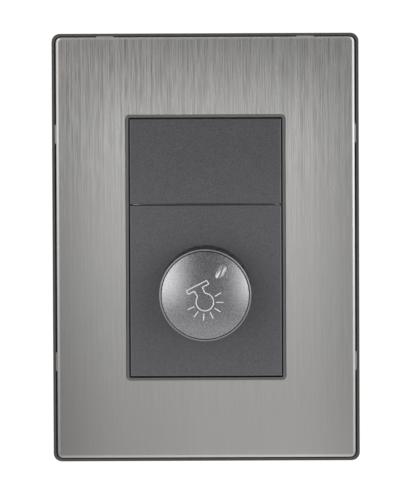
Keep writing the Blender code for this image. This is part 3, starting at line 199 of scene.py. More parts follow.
# %% The material helper
class Finish(Graph):
    """A material with one Principled shader and patterns measured in millimetres."""

    made = {}
    darkest, lightest = 0.4, 1.6

    def __init__(self, name, colour, roughness, metallic=0.0, **constants):
        self.material = bpy.data.materials.new(name)
        self.material.use_nodes = True
        super().__init__(self.material.node_tree)
        self.shader = self.tree.nodes["Principled BSDF"]
        self.colour = (*colour, 1.0)
        self.set("Base Color", self.colour)
        self.set("Roughness", roughness)
        self.set("Metallic", metallic)
        for key, value in constants.items():
            self.set(key.replace("_", " ").title().replace("Ior", "IOR"), value)
        self.material.diffuse_color = self.colour
        Finish.made[name] = self.material

    def set(self, name, value):
        self.feed(self.shader.inputs[name], value)

    def millimetres(self, scale=(1, 1, 1), place=(0, 0, 0)):
        """Object coordinates in millimetres, scaled and shifted."""
        where = self.node("ShaderNodeTexCoord", output="Object")
        return self.node("ShaderNodeMapping", {}, {"Vector": where, "Location": place,
                                                   "Scale": [s / MM for s in scale]})

    def place(self):
        """Where a point of the piece is, in millimetres: X, with Y and Z as other outputs."""
        return self.node("ShaderNodeSeparateXYZ", {}, {0: self.millimetres()})

    def noise(self, scale=(1, 1, 1), detail=2.0, place=(0, 0, 0)):
        """Noise from 0 to 1, with the scale in waves to the millimetre on each axis."""
        return self.node("ShaderNodeTexNoise", {}, {
            "Vector": self.millimetres(scale, place), "Scale": 1.0,
            "Detail": detail, "Roughness": 0.55})

    def tint(self, amount):
        """The base colour, lighter and darker by the amount, which goes from -1 to 1."""
        dark = [c * self.darkest for c in self.colour[:3]] + [1]
        light = [min(1, c * self.lightest) for c in self.colour[:3]] + [1]
        return self.mix(amount * 0.5 + 0.5, dark, light)

    def scaled(self, colour, level):
        """A colour made lighter or darker by a number."""
        return self.node("ShaderNodeVectorMath", {"operation": "SCALE"},
                         {0: colour, "Scale": level})

    def bump(self, height, strength, depth):
        """Normals from a height that goes from 0 to 1 over a depth in millimetres."""
        return self.node("ShaderNodeBump", {}, {
            "Height": height, "Strength": strength, "Distance": depth * MM})


print("a finish tints from", Finish.darkest, "to", Finish.lightest, "times its colour")

# %% [markdown]
# ## Brushed steel
# The face is ground with an endless belt that runs up and down the plate. Each grain leaves one
# long scratch, so seen close the metal is a barcode of light and dark lines. We stretch noise
# along the height, in three lengths, and let a fourth, rarer one leave a few bright scratches.
# Squared noise has sharp peaks and flat valleys, as ground metal has. The belt bit deepest near
# the top, so the pattern fades downwards, and it never reached the rolled sides.

# %% The belt's scratches
SHORT_LINE, LONG_LINE = (4.8, 4.8, 0.15), (4.4, 4.4, 0.014)
BROAD_BAND, RARE_LINE = (1.0, 1.0, 0.02), (2.6, 2.6, 0.008)
MEAN_OF_SQUARE = 0.27


def belt_height(steel):
    """The belt's short and long lines, each a height about a level of 0."""
    short = steel.noise(SHORT_LINE, 0.0) ** 2 - MEAN_OF_SQUARE
    long = steel.noise(LONG_LINE, 0.0, (7, 3, 5)) ** 2 - MEAN_OF_SQUARE
    return short, long


def belt_bite(steel, side, up):
    """How hard the belt bit: deep at the top, faint at the foot, not at all at the sides."""
    from_top = steel.step(up, -8.0, 60.0, 0.13, 1.0)
    from_foot = steel.step(up, -55.0, -25.0, 0.35, 1.0)
    return from_top * from_foot * steel.step(side, 41.3, 40.4)


print("long lines are", round(SHORT_LINE[2] / LONG_LINE[2], 1), "times as long as short ones")

# %% [markdown]
# ## A painted highlight over the whole face
# A second pattern, as wide as the plate, is a painted highlight: brightest beside the window and
# darker towards the corners, with a slight slant from one side to the other. Soft steps across
# and up describe it. The metal is also a trace warmer at one upper corner and at the foot.
# Anisotropy spreads the highlights sideways, across the scratches.

# %% Make the brushed steel
# the painted highlight over the face: its base level, its gain beside the window, its twist at the
# corners, its fall to the sides and its slant
BASE_LEVEL, HIGHLIGHT_GAIN = 0.49, 0.46
CORNER_TWIST = 0.00002
SIDE_FALL, SIDE_SLANT = 0.0028, 0.0029
COOL_STEEL, WARM_STEEL = (0.552, 0.55, 0.546, 1), (0.57, 0.55, 0.535, 1)
# the rolled top and bottom edges, and the strength of the painted highlight on them
ROLL_FROM, ROLL_TO, ROLL_HIGHLIGHT = 58.0, 58.5, 0.18


# painted highlight in the colour: lighter beside the window, darker towards the corners, slanting
# from side to side
def face_painted_highlight(steel, across, side, up):
    window_highlight = (steel.step(side, 50.0, 22.0) * steel.step(up, 66.0, 28.0)
            * steel.step(up, -70.0, 10.0, 0.4, 1.0))
    level = BASE_LEVEL + window_highlight * HIGHLIGHT_GAIN - across * up * CORNER_TWIST
    return level * (1 - side * SIDE_FALL + across * SIDE_SLANT)


def face_warmth(steel, across, up):
    drift = steel.step(steel.noise((0.07, 0.07, 0.02), 1.0, (2, 9, 4)), 0.35, 0.65)
    corner = steel.step(across, 0.0, -25.0) * steel.step(up, 35.0, 50.0)
    foot = steel.step(up, -25.0, -45.0)
    return steel.mix(drift * 0.2 + corner * 0.8 + foot * 0.4, COOL_STEEL, WARM_STEEL)


def brushed_steel():
    steel = Finish("brushed_steel", (0.55, 0.55, 0.55), 0.3, 1.0, anisotropic=0.35)
    across = steel.place()
    side, up = steel.maths("ABSOLUTE", across), across.out("Z")
    short, long = belt_height(steel)
    broad = steel.noise(BROAD_BAND, 1.0, (1, 6, 2)) - 0.5
    rare = steel.step(steel.noise(RARE_LINE, 0.0, (11, 0, 3)), 0.70, 0.8)
    lines = short * 1.4 + long * 1.2 + broad * 0.12 + rare * 0.35
    lines = lines * belt_bite(steel, side, up)
    # painted highlight on the rolled top and bottom edges, added to the painted highlight over the
    # face
    rolled_highlight = steel.step(steel.maths("ABSOLUTE", up), ROLL_FROM, ROLL_TO)
    level = face_painted_highlight(steel, across, side, up) * (1 + lines) + rolled_highlight * ROLL_HIGHLIGHT
    steel.set("Base Color", steel.scaled(face_warmth(steel, across, up), level))
    steel.set("Roughness", 0.3 - lines * 0.1)
    steel.set("Normal", steel.bump(short + long, 0.03, 0.04))


brushed_steel()
print("finishes so far:", sorted(Finish.made))

# %% [markdown]
# ## Flaked paint
# The modules are moulded in grey and sprayed with a paint that carries metal flakes. From arm's
# length the flakes only show as a restless grain, so a fine noise lightens and darkens the
# colour. Painted light from below lightens the colour a little from the top module down, and a
# painted highlight lies along the bottom edge. The knob's cap has the same paint, but brighter
# and almost flat.

# %% Make the flaked paints
MODULES_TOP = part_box("blank_insert")[1][2] / MM
MODULES_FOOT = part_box("dimmer_fascia")[0][2] / MM
# heights above the modules' foot between which the painted highlight along the bottom edge comes in
EDGE_LIGHT_FROM, EDGE_LIGHT_TO = 0.6, 0.3


def flaked_paint(name, colour, roughness, metallic, sparkle, painted_light_gain=0.0, depth=0.15):
    """Paint whose flakes sparkle and stand up by a depth. A gain sets its painted light from below.
    """
    paint = Finish(name, colour, roughness, metallic)
    flakes = paint.noise((3.4, 3.4, 3.4), 1.0) - 0.5
    blotch = paint.noise((0.5, 0.5, 0.5), 2.0, (3, 1, 8)) - 0.5
    up = paint.place().out("Z")
    # painted light from below: the colour is lighter from the top module down
    pale = paint.step(up, MODULES_TOP, 0.0, 0.0, painted_light_gain)
    # painted highlight along the bottom edge of the modules
    edge_highlight = paint.step(up, MODULES_FOOT + EDGE_LIGHT_FROM, MODULES_FOOT + EDGE_LIGHT_TO)
    paint.set("Base Color", paint.tint(flakes * sparkle + blotch * 0.2 + pale + edge_highlight * 0.45))
    paint.set("Roughness", roughness + flakes * 0.12)
    paint.set("Normal", paint.bump(flakes, depth, 0.02))


# the fascia's paint carries painted light from below
flaked_paint("fascia_plastic", (0.058, 0.058, 0.0635), 0.36, 0.5, sparkle=2.2, painted_light_gain=0.55)
flaked_paint("cap_silver", (0.225, 0.225, 0.236), 0.26, 0.95, sparkle=1.7, depth=0.02)
print("the modules run from", round(MODULES_FOOT, 1), "to", round(MODULES_TOP, 1), "mm up")

# %% [markdown]
# ## Plain mouldings
# Unpainted mouldings have a spark-eroded skin, which is a fine bump and an uneven gloss. One
# function makes them all from a colour and a gloss, because the tool that made them is cut the
# same way for every part. Small components take it too, with a quieter grain.

# %% Make the plain mouldings
def moulded_plastic(name, colour, roughness, grain=0.3):
    """Plain mould skin: tiny pits, with gloss that wanders a little."""
    skin = Finish(name, colour, roughness)
    pits = skin.noise((6.0, 6.0, 6.0), 2.0) - 0.5
    wander = skin.noise((0.25, 0.25, 0.25), 3.0, (5, 5, 1)) - 0.5
    skin.set("Base Color", skin.tint(pits * grain * 0.5 + wander * grain))
    skin.set("Roughness", roughness + wander * 0.2)
    skin.set("Normal", skin.bump(pits, 0.3, 0.03))


moulded_plastic("frame_nylon", (0.23, 0.23, 0.225), 0.55)
moulded_plastic("housing_plastic", (0.032, 0.032, 0.034), 0.5)
moulded_plastic("black_epoxy", (0.018, 0.018, 0.019), 0.45)
moulded_plastic("resistor_body", (0.5, 0.38, 0.2), 0.45)
moulded_plastic("carbon_track", (0.012, 0.012, 0.012), 0.6)
moulded_plastic("ferrite", (0.5, 0.46, 0.12), 0.55)
moulded_plastic("foam_tape", (0.66, 0.66, 0.63), 0.9, grain=0.5)
moulded_plastic("capacitor_box", (0.75, 0.5, 0.06), 0.35, grain=0.15)
moulded_plastic("capacitor_dip", (0.08, 0.25, 0.1), 0.3, grain=0.2)
moulded_plastic("printed_mark", (0.46, 0.46, 0.47), 0.5, grain=0.1)
print("finishes so far:", len(Finish.made))

# %% [markdown]
# ## Two plastics with a painted part
# The carrier's lip round the window shows beside the grey modules, and it is a lighter grey than
# its black rim. The grip is black too, but its front edge is silver, which draws the thin light
# ring round the cap. A mask made of soft steps says where the second colour lies.

# %% Make the carrier and the grip
LIP_SIDE, LIP_END, LIP_SOFT = 24.0, 39.0, 0.5
LIP_OUT, LIP_FULL = 8.2, 8.8
LIP_GREY = (0.068, 0.068, 0.067, 1)
RING_DEEP, RING_FULL = 0.2, 0.06
RING_SILVER = (0.2, 0.2, 0.21, 1)


def carrier_with_grey_lip():
    carrier = Finish("carrier_plastic", (0.028, 0.027, 0.026), 0.36)
    across = carrier.place()
    pits = carrier.noise((5.0, 5.0, 5.0)) - 0.5
    side, end = carrier.maths("ABSOLUTE", across), carrier.maths("ABSOLUTE", across.out("Z"))
    # the lip round the window is a lighter grey than the black rim
    near = (carrier.step(side, LIP_SIDE, LIP_SIDE - LIP_SOFT)
            * carrier.step(end, LIP_END, LIP_END - LIP_SOFT))
    lip = near * carrier.step(across.out("Y"), -LIP_OUT, -LIP_FULL)
    carrier.set("Base Color", carrier.mix(lip, carrier.tint(pits * 0.4), LIP_GREY))
    carrier.set("Roughness", 0.36 + pits * 0.1)
    carrier.set("Normal", carrier.bump(pits, 0.25, 0.03))


def painted_grip():
    grip = Finish("knob_plastic", (0.01, 0.01, 0.011), 0.5, specular_ior_level=0.25)
    front = -KNOB_FRONT / MM
    pits = grip.noise((3.0, 3.0, 3.0)) - 0.5
    ring = grip.step(grip.place().out("Y"), front + RING_DEEP, front + RING_FULL)
    grip.set("Base Color", grip.mix(ring, grip.tint(pits * 0.6), RING_SILVER))
    grip.set("Metallic", ring * 0.8)
    grip.set("Roughness", 0.52 - ring * 0.15 + pits * 0.12)
    grip.set("Normal", grip.bump(pits, 0.2, 0.02))


carrier_with_grey_lip()
painted_grip()
print("the silver ring starts", RING_DEEP, "mm behind the grip's front")

# %% [markdown]
# ## Bare metals, laminates and glass
# Small metal parts come out of a barrel plating line, so their shine is broken by soft blotches
# and a few fine scratches. Laminates show their paper in stretched noise. These sit deep inside
# and are mostly hidden, so one function serves each family.

# %% Make the metals, the laminates and the glass
def plated_metal(name, colour, roughness):
    metal = Finish(name, colour, roughness, 1.0)
    blotch = metal.noise((0.8, 0.8, 0.8), 4.0) - 0.5
    scratch = metal.step(metal.noise((6.0, 0.6, 1.4), 1.0, (4, 4, 4)), 0.62, 0.7)
    metal.set("Base Color", metal.tint(blotch * 0.35))
    metal.set("Roughness", roughness + blotch * 0.25 + scratch * 0.12)
    metal.set("Normal", metal.bump(blotch, 0.15, 0.04))


def laminate(name, colour):
    sheet = Finish(name, colour, 0.55)
    fibres = sheet.noise((0.4, 5.0, 1.6), 4.0) - 0.5
    sheet.set("Base Color", sheet.tint(fibres * 0.5))
    sheet.set("Normal", sheet.bump(fibres, 0.2, 0.03))


def clear_glass(name):
    glass = Finish(name, (0.82, 0.86, 0.86), 0.06, alpha=0.35)
    glass.set("Roughness", glass.noise((0.7, 0.7, 0.7)) * 0.1 + 0.02)


plated_metal("zinc_steel", (0.58, 0.58, 0.57), 0.3)
plated_metal("brass", (0.62, 0.44, 0.18), 0.32)
plated_metal("aluminium", (0.66, 0.66, 0.67), 0.38)
plated_metal("enamelled_copper", (0.5, 0.17, 0.07), 0.25)
laminate("board_laminate", (0.36, 0.23, 0.09))
laminate("phenolic", (0.25, 0.1, 0.04))
clear_glass("clear_glass")
print("finishes in all:", len(Finish.made))

# %% Put each finish on its solids
for part in frame["record"]["subparts"]:
    nodes[part["node"]].material_slots[0].material = Finish.made[part["material_slot"]]

# %% [markdown]
# ## Building skins from loops
# Many pieces here are a frame or a disc: a closed outline that steps in, rises and rolls over an
# edge. We describe such a piece as a list of loops with the same number of points and sew each
# loop to the next with a band of four-sided faces. It gives clean, closed meshes with an even
# flow of edges, where a Boolean would leave slivers.

# %% A loop with round corners
def corner_loop(width, height, radius, out, steps=10):
    """A rectangle with round corners, as points of the standing plate."""
    points = []
    for turn, (sx, sz) in enumerate(((1, -1), (1, 1), (-1, 1), (-1, -1))):
        for i in range(steps + 1):
            angle = math.radians(-90 + 90 * (turn + i / steps))
            points.append((sx * (width / 2 - radius) + radius * math.cos(angle), -out,
                           sz * (height / 2 - radius) + radius * math.sin(angle)))
    return points


print("a corner loop has", len(corner_loop(1, 1, 0.1, 0)), "points")

# %% Sew loops into a skin
def shade(mesh, sharp):
    """Smooth shading, but for the edges that turn by more than the sharp angle."""
    mesh.shade_smooth()
    mesh.set_sharp_from_angle(angle=math.radians(sharp))


def skin(name, loops, ends="ring", sharp=35):
    """A closed mesh sewn from loops. Its ends meet as a ring, or each gets a cap."""
    made = bmesh.new()
    rows = [[made.verts.new(point) for point in loop] for loop in loops]
    pairs = list(zip(rows, rows[1:])) + ([(rows[-1], rows[0])] if ends == "ring" else [])
    for near, far in pairs:
        for i in range(len(near)):
            j = (i + 1) % len(near)
            made.faces.new((near[i], near[j], far[j], far[i]))
    if ends == "caps":
        made.faces.new(rows[0])
        made.faces.new(rows[-1])
    bmesh.ops.recalc_face_normals(made, faces=made.faces)
    mesh = bpy.data.meshes.new(name)
    made.to_mesh(mesh)
    made.free()
    shade(mesh, sharp)
    return mesh


def new_piece(name, mesh, body, slot, replaces=()):
    """Puts a finished mesh in the scene, hangs it on its body and hides the solids that it stands
    for.
    """
    piece = bpy.data.objects.new(name, mesh)
    scene.collection.objects.link(piece)
    if not mesh.materials:
        mesh.materials.append(Finish.made[slot])
    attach(piece, body)
    if replaces:
        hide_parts(*replaces)
    print(name, "has", len(mesh.polygons), "faces")


print("a skin's ends meet as a ring, or get caps")

# %% [markdown]
# ## The metal face
# The real one is a pressed sheet: its outer edge is rolled over, which gives the bright line all
# round it, and its window is punched, which leaves only a hair of a bevel. Six small
# tabs on its edge centre it in the carrier. We roll the outer edge in steps, cross the flat to
# the window, and go down its side. A loop just inside each rolled edge keeps the flat truly flat,
# because smooth shading would otherwise lean the light over the whole sheet.

# %% The face's loops
RIM, SIDE_GAP, END_GAP = 0.75 * MM, 0.46 * MM, 0.3 * MM
carrier_size = size_of("carrier_frame")
FACE_WIDTH = carrier_size[0] - 2 * (RIM + SIDE_GAP)
FACE_HEIGHT = carrier_size[2] - 2 * (RIM + END_GAP)
FACE_CORNER = 1.55 * MM
ROLL_IN, ROLL_DOWN = 0.85 * MM, 0.34 * MM
WINDOW, WINDOW_CORNER = (44.8 * MM, 74.4 * MM), 1.2 * MM
WINDOW_BEVEL = ((0.06 * MM, 0.0), (0.04 * MM, 0.0), (0.0, 0.04 * MM))


def inset_loop(inset, out):
    """The face's outline, moved in from its edge."""
    return corner_loop(FACE_WIDTH - 2 * inset, FACE_HEIGHT - 2 * inset, FACE_CORNER - inset, out)


def face_loops(roll_steps=7):
    """From the back up the side, over the rolled edge, across to the window and down it."""
    loops = [inset_loop(0, FACE_BACK)]
    for i in range(roll_steps + 1):
        angle = math.radians(90 * i / roll_steps)
        loops.append(inset_loop(ROLL_IN * (1 - math.cos(angle)),
                                FACE_FRONT - ROLL_DOWN * (1 - math.sin(angle))))
    loops.append(inset_loop(1.1 * ROLL_IN, FACE_FRONT))
    for inset, drop in WINDOW_BEVEL:
        loops.append(corner_loop(WINDOW[0] + 2 * inset, WINDOW[1] + 2 * inset,
                                 WINDOW_CORNER + inset, FACE_FRONT - drop))
    loops.append(corner_loop(*WINDOW, WINDOW_CORNER, FACE_BACK))
    return loops


print(f"the face is {FACE_WIDTH / MM:.2f} x {FACE_HEIGHT / MM:.2f} mm")
print("it is sewn from", len(face_loops()), "loops")

# %% The face's tabs
TAB_ROOT, TAB_SPARE, TAB_BEVEL = 0.4 * MM, 0.06 * MM, 0.05 * MM
TAB_BACK, TAB_FRONT = 7.75 * MM, 8.5 * MM
TOP_TAB_AT, TOP_TAB_HALF = 28 * MM, 2.4 * MM
SIDE_TAB_AT, SIDE_TAB_HALF = 31.9 * MM, 2.6 * MM


def add_block(made, low, high, bevel):
    """A closed block with rounded edges, added to a mesh that is being made."""
    block = bmesh.ops.create_cube(made, size=1)["verts"]
    middle, size = (Vector(low) + Vector(high)) / 2, Vector(high) - Vector(low)
    shape = Matrix.Translation(middle) @ Matrix.Diagonal((*size, 1))
    bmesh.ops.transform(made, matrix=shape, verts=block)
    edges = list({edge for vertex in block for edge in vertex.link_edges})
    bmesh.ops.bevel(made, geom=edges, offset=bevel, segments=2, affect="EDGES")


def tab_places():
    """Low and high corners of the tabs: two on the top edge and two on each side."""
    top, side = FACE_HEIGHT / 2, FACE_WIDTH / 2
    for way in (-1, 1):
        middle = way * TOP_TAB_AT
        yield ((middle - TOP_TAB_HALF, -TAB_FRONT, top - TAB_ROOT),
               (middle + TOP_TAB_HALF, -TAB_BACK, top + END_GAP - TAB_SPARE))
        near, far = sorted((way * (side - TAB_ROOT), way * (side + SIDE_GAP - TAB_SPARE)))
        for up in (-SIDE_TAB_AT, SIDE_TAB_AT):
            yield (near, -TAB_FRONT, up - SIDE_TAB_HALF), (far, -TAB_BACK, up + SIDE_TAB_HALF)


print("tabs:", len(list(tab_places())))

# %% Make the metal face
def make_face():
    sheet = skin("metal_face", face_loops(), sharp=50)
    made = bmesh.new()
    made.from_mesh(sheet)
    for low, high in tab_places():
        add_block(made, low, high, TAB_BEVEL)
    sheet.clear_geometry()
    made.to_mesh(sheet)
    made.free()
    shade(sheet, sharp=50)
    new_piece("metal_face", sheet, "cover", "brushed_steel", ["face_plate"])


make_face()

# %% [markdown]
# ## The knob's grip
# The grip is a turned cup with eighteen flutes. The cup is one profile carried round the axis. The
# flutes follow a rule, so Geometry Nodes press them in: each point of the outer wall moves
# inwards by a depth that repeats eighteen times round the axis. The tree's inputs are the number,
# the depth and the width of the flutes, so another knob needs only other numbers.

# %% A turned mesh about the knob's axis
def turned_loops(profile, count):
    """Loops about the knob's axis from (radius, out) points. The pointer is at the first column."""
    loops = []
    for radius, out in profile:
        ring = [KNOB_TURN + 2 * math.pi * i / count for i in range(count)]
        loops.append([(radius * math.sin(a), -out, KNOB_UP + radius * math.cos(a)) for a in ring])
    return loops


print("a ring of eight columns has", len(turned_loops([(1, 0)], 8)[0]), "points")

# %% The grip's profile, from the bore round to the cap's seat
KNOB_RADIUS = size_of("knob_body")[0] / 2
FLARE = 0.2 * MM
BORE, HUB, WALL = 3.2 * MM, 4.9 * MM, 1.5 * MM
SEAT, SHOULDER = KNOB_FRONT - 1.5 * MM, KNOB_FRONT - 0.7 * MM
EDGE_ROUND, EDGE_WIDTH = 0.26 * MM, 0.5 * MM


def grip_inside():
    """Up the hub, across the web under the cap, and down the inside of the wall."""
    inner, web = KNOB_RADIUS - WALL, SEAT - 1.8 * MM
    return [(BORE, KNOB_FRONT - 4.3 * MM), (BORE, KNOB_BACK + 5.2 * MM),
            (HUB, KNOB_BACK + 5.0 * MM), (HUB, web),
            (inner - 0.6 * MM, web), (inner, web - 0.6 * MM),
            (inner, KNOB_BACK + 0.2 * MM), (inner + 0.2 * MM, KNOB_BACK)]


def grip_outside(wall_steps=12, edge_steps=6):
    """Up the wall, which is wider at its base, over the rounded edge and down to the seat."""
    base, recess = KNOB_RADIUS + FLARE, KNOB_RADIUS - EDGE_WIDTH
    profile = [(base - 0.15 * MM, KNOB_BACK), (base, KNOB_BACK + 0.15 * MM)]
    for i in range(1, wall_steps + 1):
        profile.append((KNOB_RADIUS + FLARE * (1 - i / wall_steps),
                        KNOB_BACK + (SHOULDER - KNOB_BACK) * i / wall_steps))
    for i in range(1, edge_steps + 1):
        angle = math.radians(90 * i / edge_steps)
        profile.append((KNOB_RADIUS - EDGE_ROUND * (1 - math.cos(angle)),
                        SHOULDER + (KNOB_FRONT - SHOULDER) * math.sin(angle)))
    profile += [(recess + 0.04 * MM, KNOB_FRONT), (recess, KNOB_FRONT - 0.04 * MM),
                (recess, KNOB_FRONT - 0.3 * MM), (recess - 0.2 * MM, KNOB_FRONT - 0.34 * MM),
                (recess - 0.2 * MM, SEAT)]
    return profile


print("the grip's profile has", len(grip_inside()) + len(grip_outside()), "points")

# %% Helpers for Geometry Nodes
def new_tree(name, sizes):
    """An empty geometry tree with a mesh, named sizes and a material as inputs."""
    tree = bpy.data.node_groups.new(name, "GeometryNodeTree")
    tree.interface.new_socket("Geometry", in_out="INPUT", socket_type="NodeSocketGeometry")
    for size, value in sizes.items():
        kind = "NodeSocketInt" if isinstance(value, int) else "NodeSocketFloat"
        tree.interface.new_socket(size, in_out="INPUT", socket_type=kind).default_value = value
    tree.interface.new_socket("Material", in_out="INPUT", socket_type="NodeSocketMaterial")
    tree.interface.new_socket("Geometry", in_out="OUTPUT", socket_type="NodeSocketGeometry")
    graph = Graph(tree)
    given = tree.nodes.new("NodeGroupInput")
    return graph, {socket.name: Wire(graph, socket) for socket in given.outputs if socket.name}


def end_tree(graph, geometry, material):
    """Every tree ends the same way: real geometry, with its material on it."""
    real = graph.node("GeometryNodeRealizeInstances", {}, {0: geometry})
    finished = graph.node("GeometryNodeSetMaterial", {},
                          {"Geometry": real, "Material": material})
    graph.feed(graph.tree.nodes.new("NodeGroupOutput").inputs[0], finished)


def grown(name, mesh, tree, sizes, slot):
    """Runs a geometry tree on a mesh and returns the plain mesh that it makes."""
    helper = bpy.data.objects.new(name, mesh)
    scene.collection.objects.link(helper)
    modifier = helper.modifiers.new("grow", "NODES")
    modifier.node_group = tree
    wanted = {**sizes, "Material": Finish.made[slot]}
    for socket in tree.interface.items_tree:
        if socket.in_out == "INPUT" and socket.name in wanted:
            modifier[socket.identifier] = wanted[socket.name]
    view = bpy.context.evaluated_depsgraph_get()
    made = bpy.data.meshes.new_from_object(helper.evaluated_get(view))
    made.name = name
    helper.modifiers.clear()
    bpy.data.objects.remove(helper)
    return made


print("a tree is started, ended and grown by three helpers")

# %% Press the flutes
FLUTES = {"Count": 18, "Depth": 0.5 * MM, "Width": 0.3, "Front": KNOB_FRONT}
COLUMNS_PER_FLUTE = 20
WALL_FROM, WALL_FULL = KNOB_RADIUS - 0.3 * MM, KNOB_RADIUS - 0.05 * MM
FLUTE_FROM, FLUTE_FULL = 0.2 * MM, 0.9 * MM


def flute_tree():
    graph, given = new_tree("flutes", FLUTES)
    place = graph.node("GeometryNodeInputPosition")
    parts = graph.node("ShaderNodeSeparateXYZ", {}, {0: place})
    across, up = parts.out("X"), parts.out("Z") - KNOB_UP
    radius = (across * across + up * up) ** 0.5
    angle = graph.maths("ARCTAN2", across, up) - KNOB_TURN
    wave = graph.maths("COSINE", angle * given["Count"])
    groove = graph.step(wave, 1 - given["Width"], 1.0)
    outer = graph.step(radius, WALL_FROM, WALL_FULL)
    behind = graph.step(parts.out("Y") + given["Front"], FLUTE_FROM, FLUTE_FULL)
    press = groove * outer * behind * given["Depth"] / radius
    move = graph.node("ShaderNodeCombineXYZ", {}, {0: across * press * -1, 2: up * press * -1})
    moved = graph.node("GeometryNodeSetPosition", {},
                       {"Geometry": given["Geometry"], "Offset": move})
    end_tree(graph, moved, given["Material"])
    return graph.tree


def make_grip():
    columns = FLUTES["Count"] * COLUMNS_PER_FLUTE
    cup = skin("knob_grip", turned_loops(grip_inside() + grip_outside(), columns), "caps")
    fluted = grown("knob_grip", cup, flute_tree(), FLUTES, "knob_plastic")
    shade(fluted, sharp=40)
    new_piece("knob_grip", fluted, "knob", "knob_plastic", ["knob_body"])


make_grip()

# %% [markdown]
# ## The knob's cap
# A silver disc, slightly domed, is let into the grip. A dimple near its edge is the pointer. The
# dome is a grid of rings and columns, so the dimple is pressed by a formula: an oval bowl whose
# rim is sharp, as a punch leaves it. The lamp mark is printed on the dome afterwards.

# %% The dome's height, with the dimple in it
CAP_RADIUS = size_of("knob_cap")[0] / 2 + 0.08 * MM
DOME = 1.2 * MM
DIMPLE_HALF_WIDTH, DIMPLE_HALF_LENGTH, DIMPLE_DEPTH = 0.95 * MM, 2.0 * MM, 0.46 * MM
DIMPLE_AT, BOWL_SHAPE = 0.65 * CAP_RADIUS, 0.8


def dome_out(across, up):
    """How far the cap stands out at a place, measured from the knob's axis."""
    distance = math.hypot(across, up)
    out = KNOB_FRONT + DOME * (1 - (distance / CAP_RADIUS) ** 2)
    side = across * math.cos(KNOB_TURN) - up * math.sin(KNOB_TURN)
    along = across * math.sin(KNOB_TURN) + up * math.cos(KNOB_TURN) - DIMPLE_AT
    bowl = 1 - (side / DIMPLE_HALF_WIDTH) ** 2 - (along / DIMPLE_HALF_LENGTH) ** 2
    return out - (DIMPLE_DEPTH * bowl ** BOWL_SHAPE if bowl > 0 else 0)


print(f"the dome stands {(dome_out(0, 0) - KNOB_FRONT) / MM:.2f} mm in front of the grip")

# %% Make the cap
CAP_COLUMNS, CAP_ROWS = 320, 56
CAP_THICK, CAP_CHAMFER = 1.3 * MM, (0.06 * MM, 0.12 * MM)


def make_cap():
    side = [(CAP_RADIUS, KNOB_FRONT - CAP_THICK), (CAP_RADIUS, KNOB_FRONT - CAP_CHAMFER[1])]
    loops = turned_loops(side, CAP_COLUMNS)
    for i in range(CAP_ROWS, 0, -1):
        radius = (CAP_RADIUS - CAP_CHAMFER[0]) * i / CAP_ROWS
        loop = turned_loops([(radius, 0)], CAP_COLUMNS)[0]
        loops.append([(x, -dome_out(x, z - KNOB_UP), z) for x, _, z in loop])
    disc = skin("knob_disc", loops, "caps", sharp=25)
    new_piece("knob_disc", disc, "knob", "cap_silver", ["knob_cap"])


make_cap()

# %% [markdown]
# ## The lamp mark
# A plain bulb says "light": a screw cap, a neck, a round glass and seven rays. It is printed, so
# it is a film of ink that follows the dome. We draw the lamp's outline as one thin path on the
# flat. A geometry tree adds the rays, each an even step round the bulb, and turns every path into
# a thin bar. At last the bars are laid on the dome and pressed to the thickness of ink.

# %% Draw the lamp's outline
MARK_TURN = math.radians(26.5)
BULB_AT = Vector((-0.1, -1.7)) * MM
BULB_RADIUS = 2.36
NECK_HALF, CAP_HALF, CAP_FOOT, CAP_CROWN = 1.15, 3.1, 3.85, 4.95


def mark_point(across, up):
    """A point of the upright mark, in millimetres, turned into its place on the cap."""
    return BULB_AT + Matrix.Rotation(MARK_TURN, 2) @ Vector((across, up)) * MM


def lamp_outline(steps=40):
    """Round the glass from one side of the neck to the other, then round the screw cap."""
    start = math.asin(NECK_HALF / BULB_RADIUS)
    turns = [start + (2 * math.pi - 2 * start) * i / steps for i in range(steps + 1)]
    glass = [(BULB_RADIUS * math.sin(a), BULB_RADIUS * math.cos(a)) for a in turns]
    cap = [(-NECK_HALF, CAP_FOOT), (-CAP_HALF, CAP_FOOT), (-CAP_HALF, CAP_CROWN),
           (CAP_HALF, CAP_CROWN), (CAP_HALF, CAP_FOOT), (NECK_HALF, CAP_FOOT)]
    return [mark_point(*point) for point in (*glass, *cap, glass[0])]


print("the lamp's outline has", len(lamp_outline()), "points")

# %% Turn the paths into bars
RAYS = {"Rays": 7, "First Ray": math.radians(183) - MARK_TURN, "Ray Step": math.radians(31),
        "Ray From": 3.1 * MM, "Ray To": 5.0 * MM, "Across": BULB_AT.x, "Up": BULB_AT.y,
        "Line Width": 0.27 * MM}
PATH_STEP = 0.25 * MM


def ray_fan(graph, given):
    """One short line for each ray, turned about the bulb's middle."""
    start = graph.node("ShaderNodeCombineXYZ", {}, {0: given["Ray From"]})
    end = graph.node("ShaderNodeCombineXYZ", {}, {0: given["Ray To"]})
    ray = graph.node("GeometryNodeCurvePrimitiveLine", {}, {"Start": start, "End": end})
    spots = graph.node("GeometryNodeMeshLine", {}, {"Count": given["Rays"], "Offset": (0, 0, 0)})
    turn = given["First Ray"] - graph.node("GeometryNodeInputIndex") * given["Ray Step"]
    facing = graph.node("ShaderNodeCombineXYZ", {}, {1: turn})
    fan = graph.node("GeometryNodeInstanceOnPoints", {},
                     {"Points": spots, "Instance": ray, "Rotation": facing})
    bulb = graph.node("ShaderNodeCombineXYZ", {}, {0: given["Across"], 2: given["Up"]})
    placed = graph.node("GeometryNodeTransform", {}, {"Geometry": fan, "Translation": bulb})
    return graph.node("GeometryNodeRealizeInstances", {}, {0: placed})


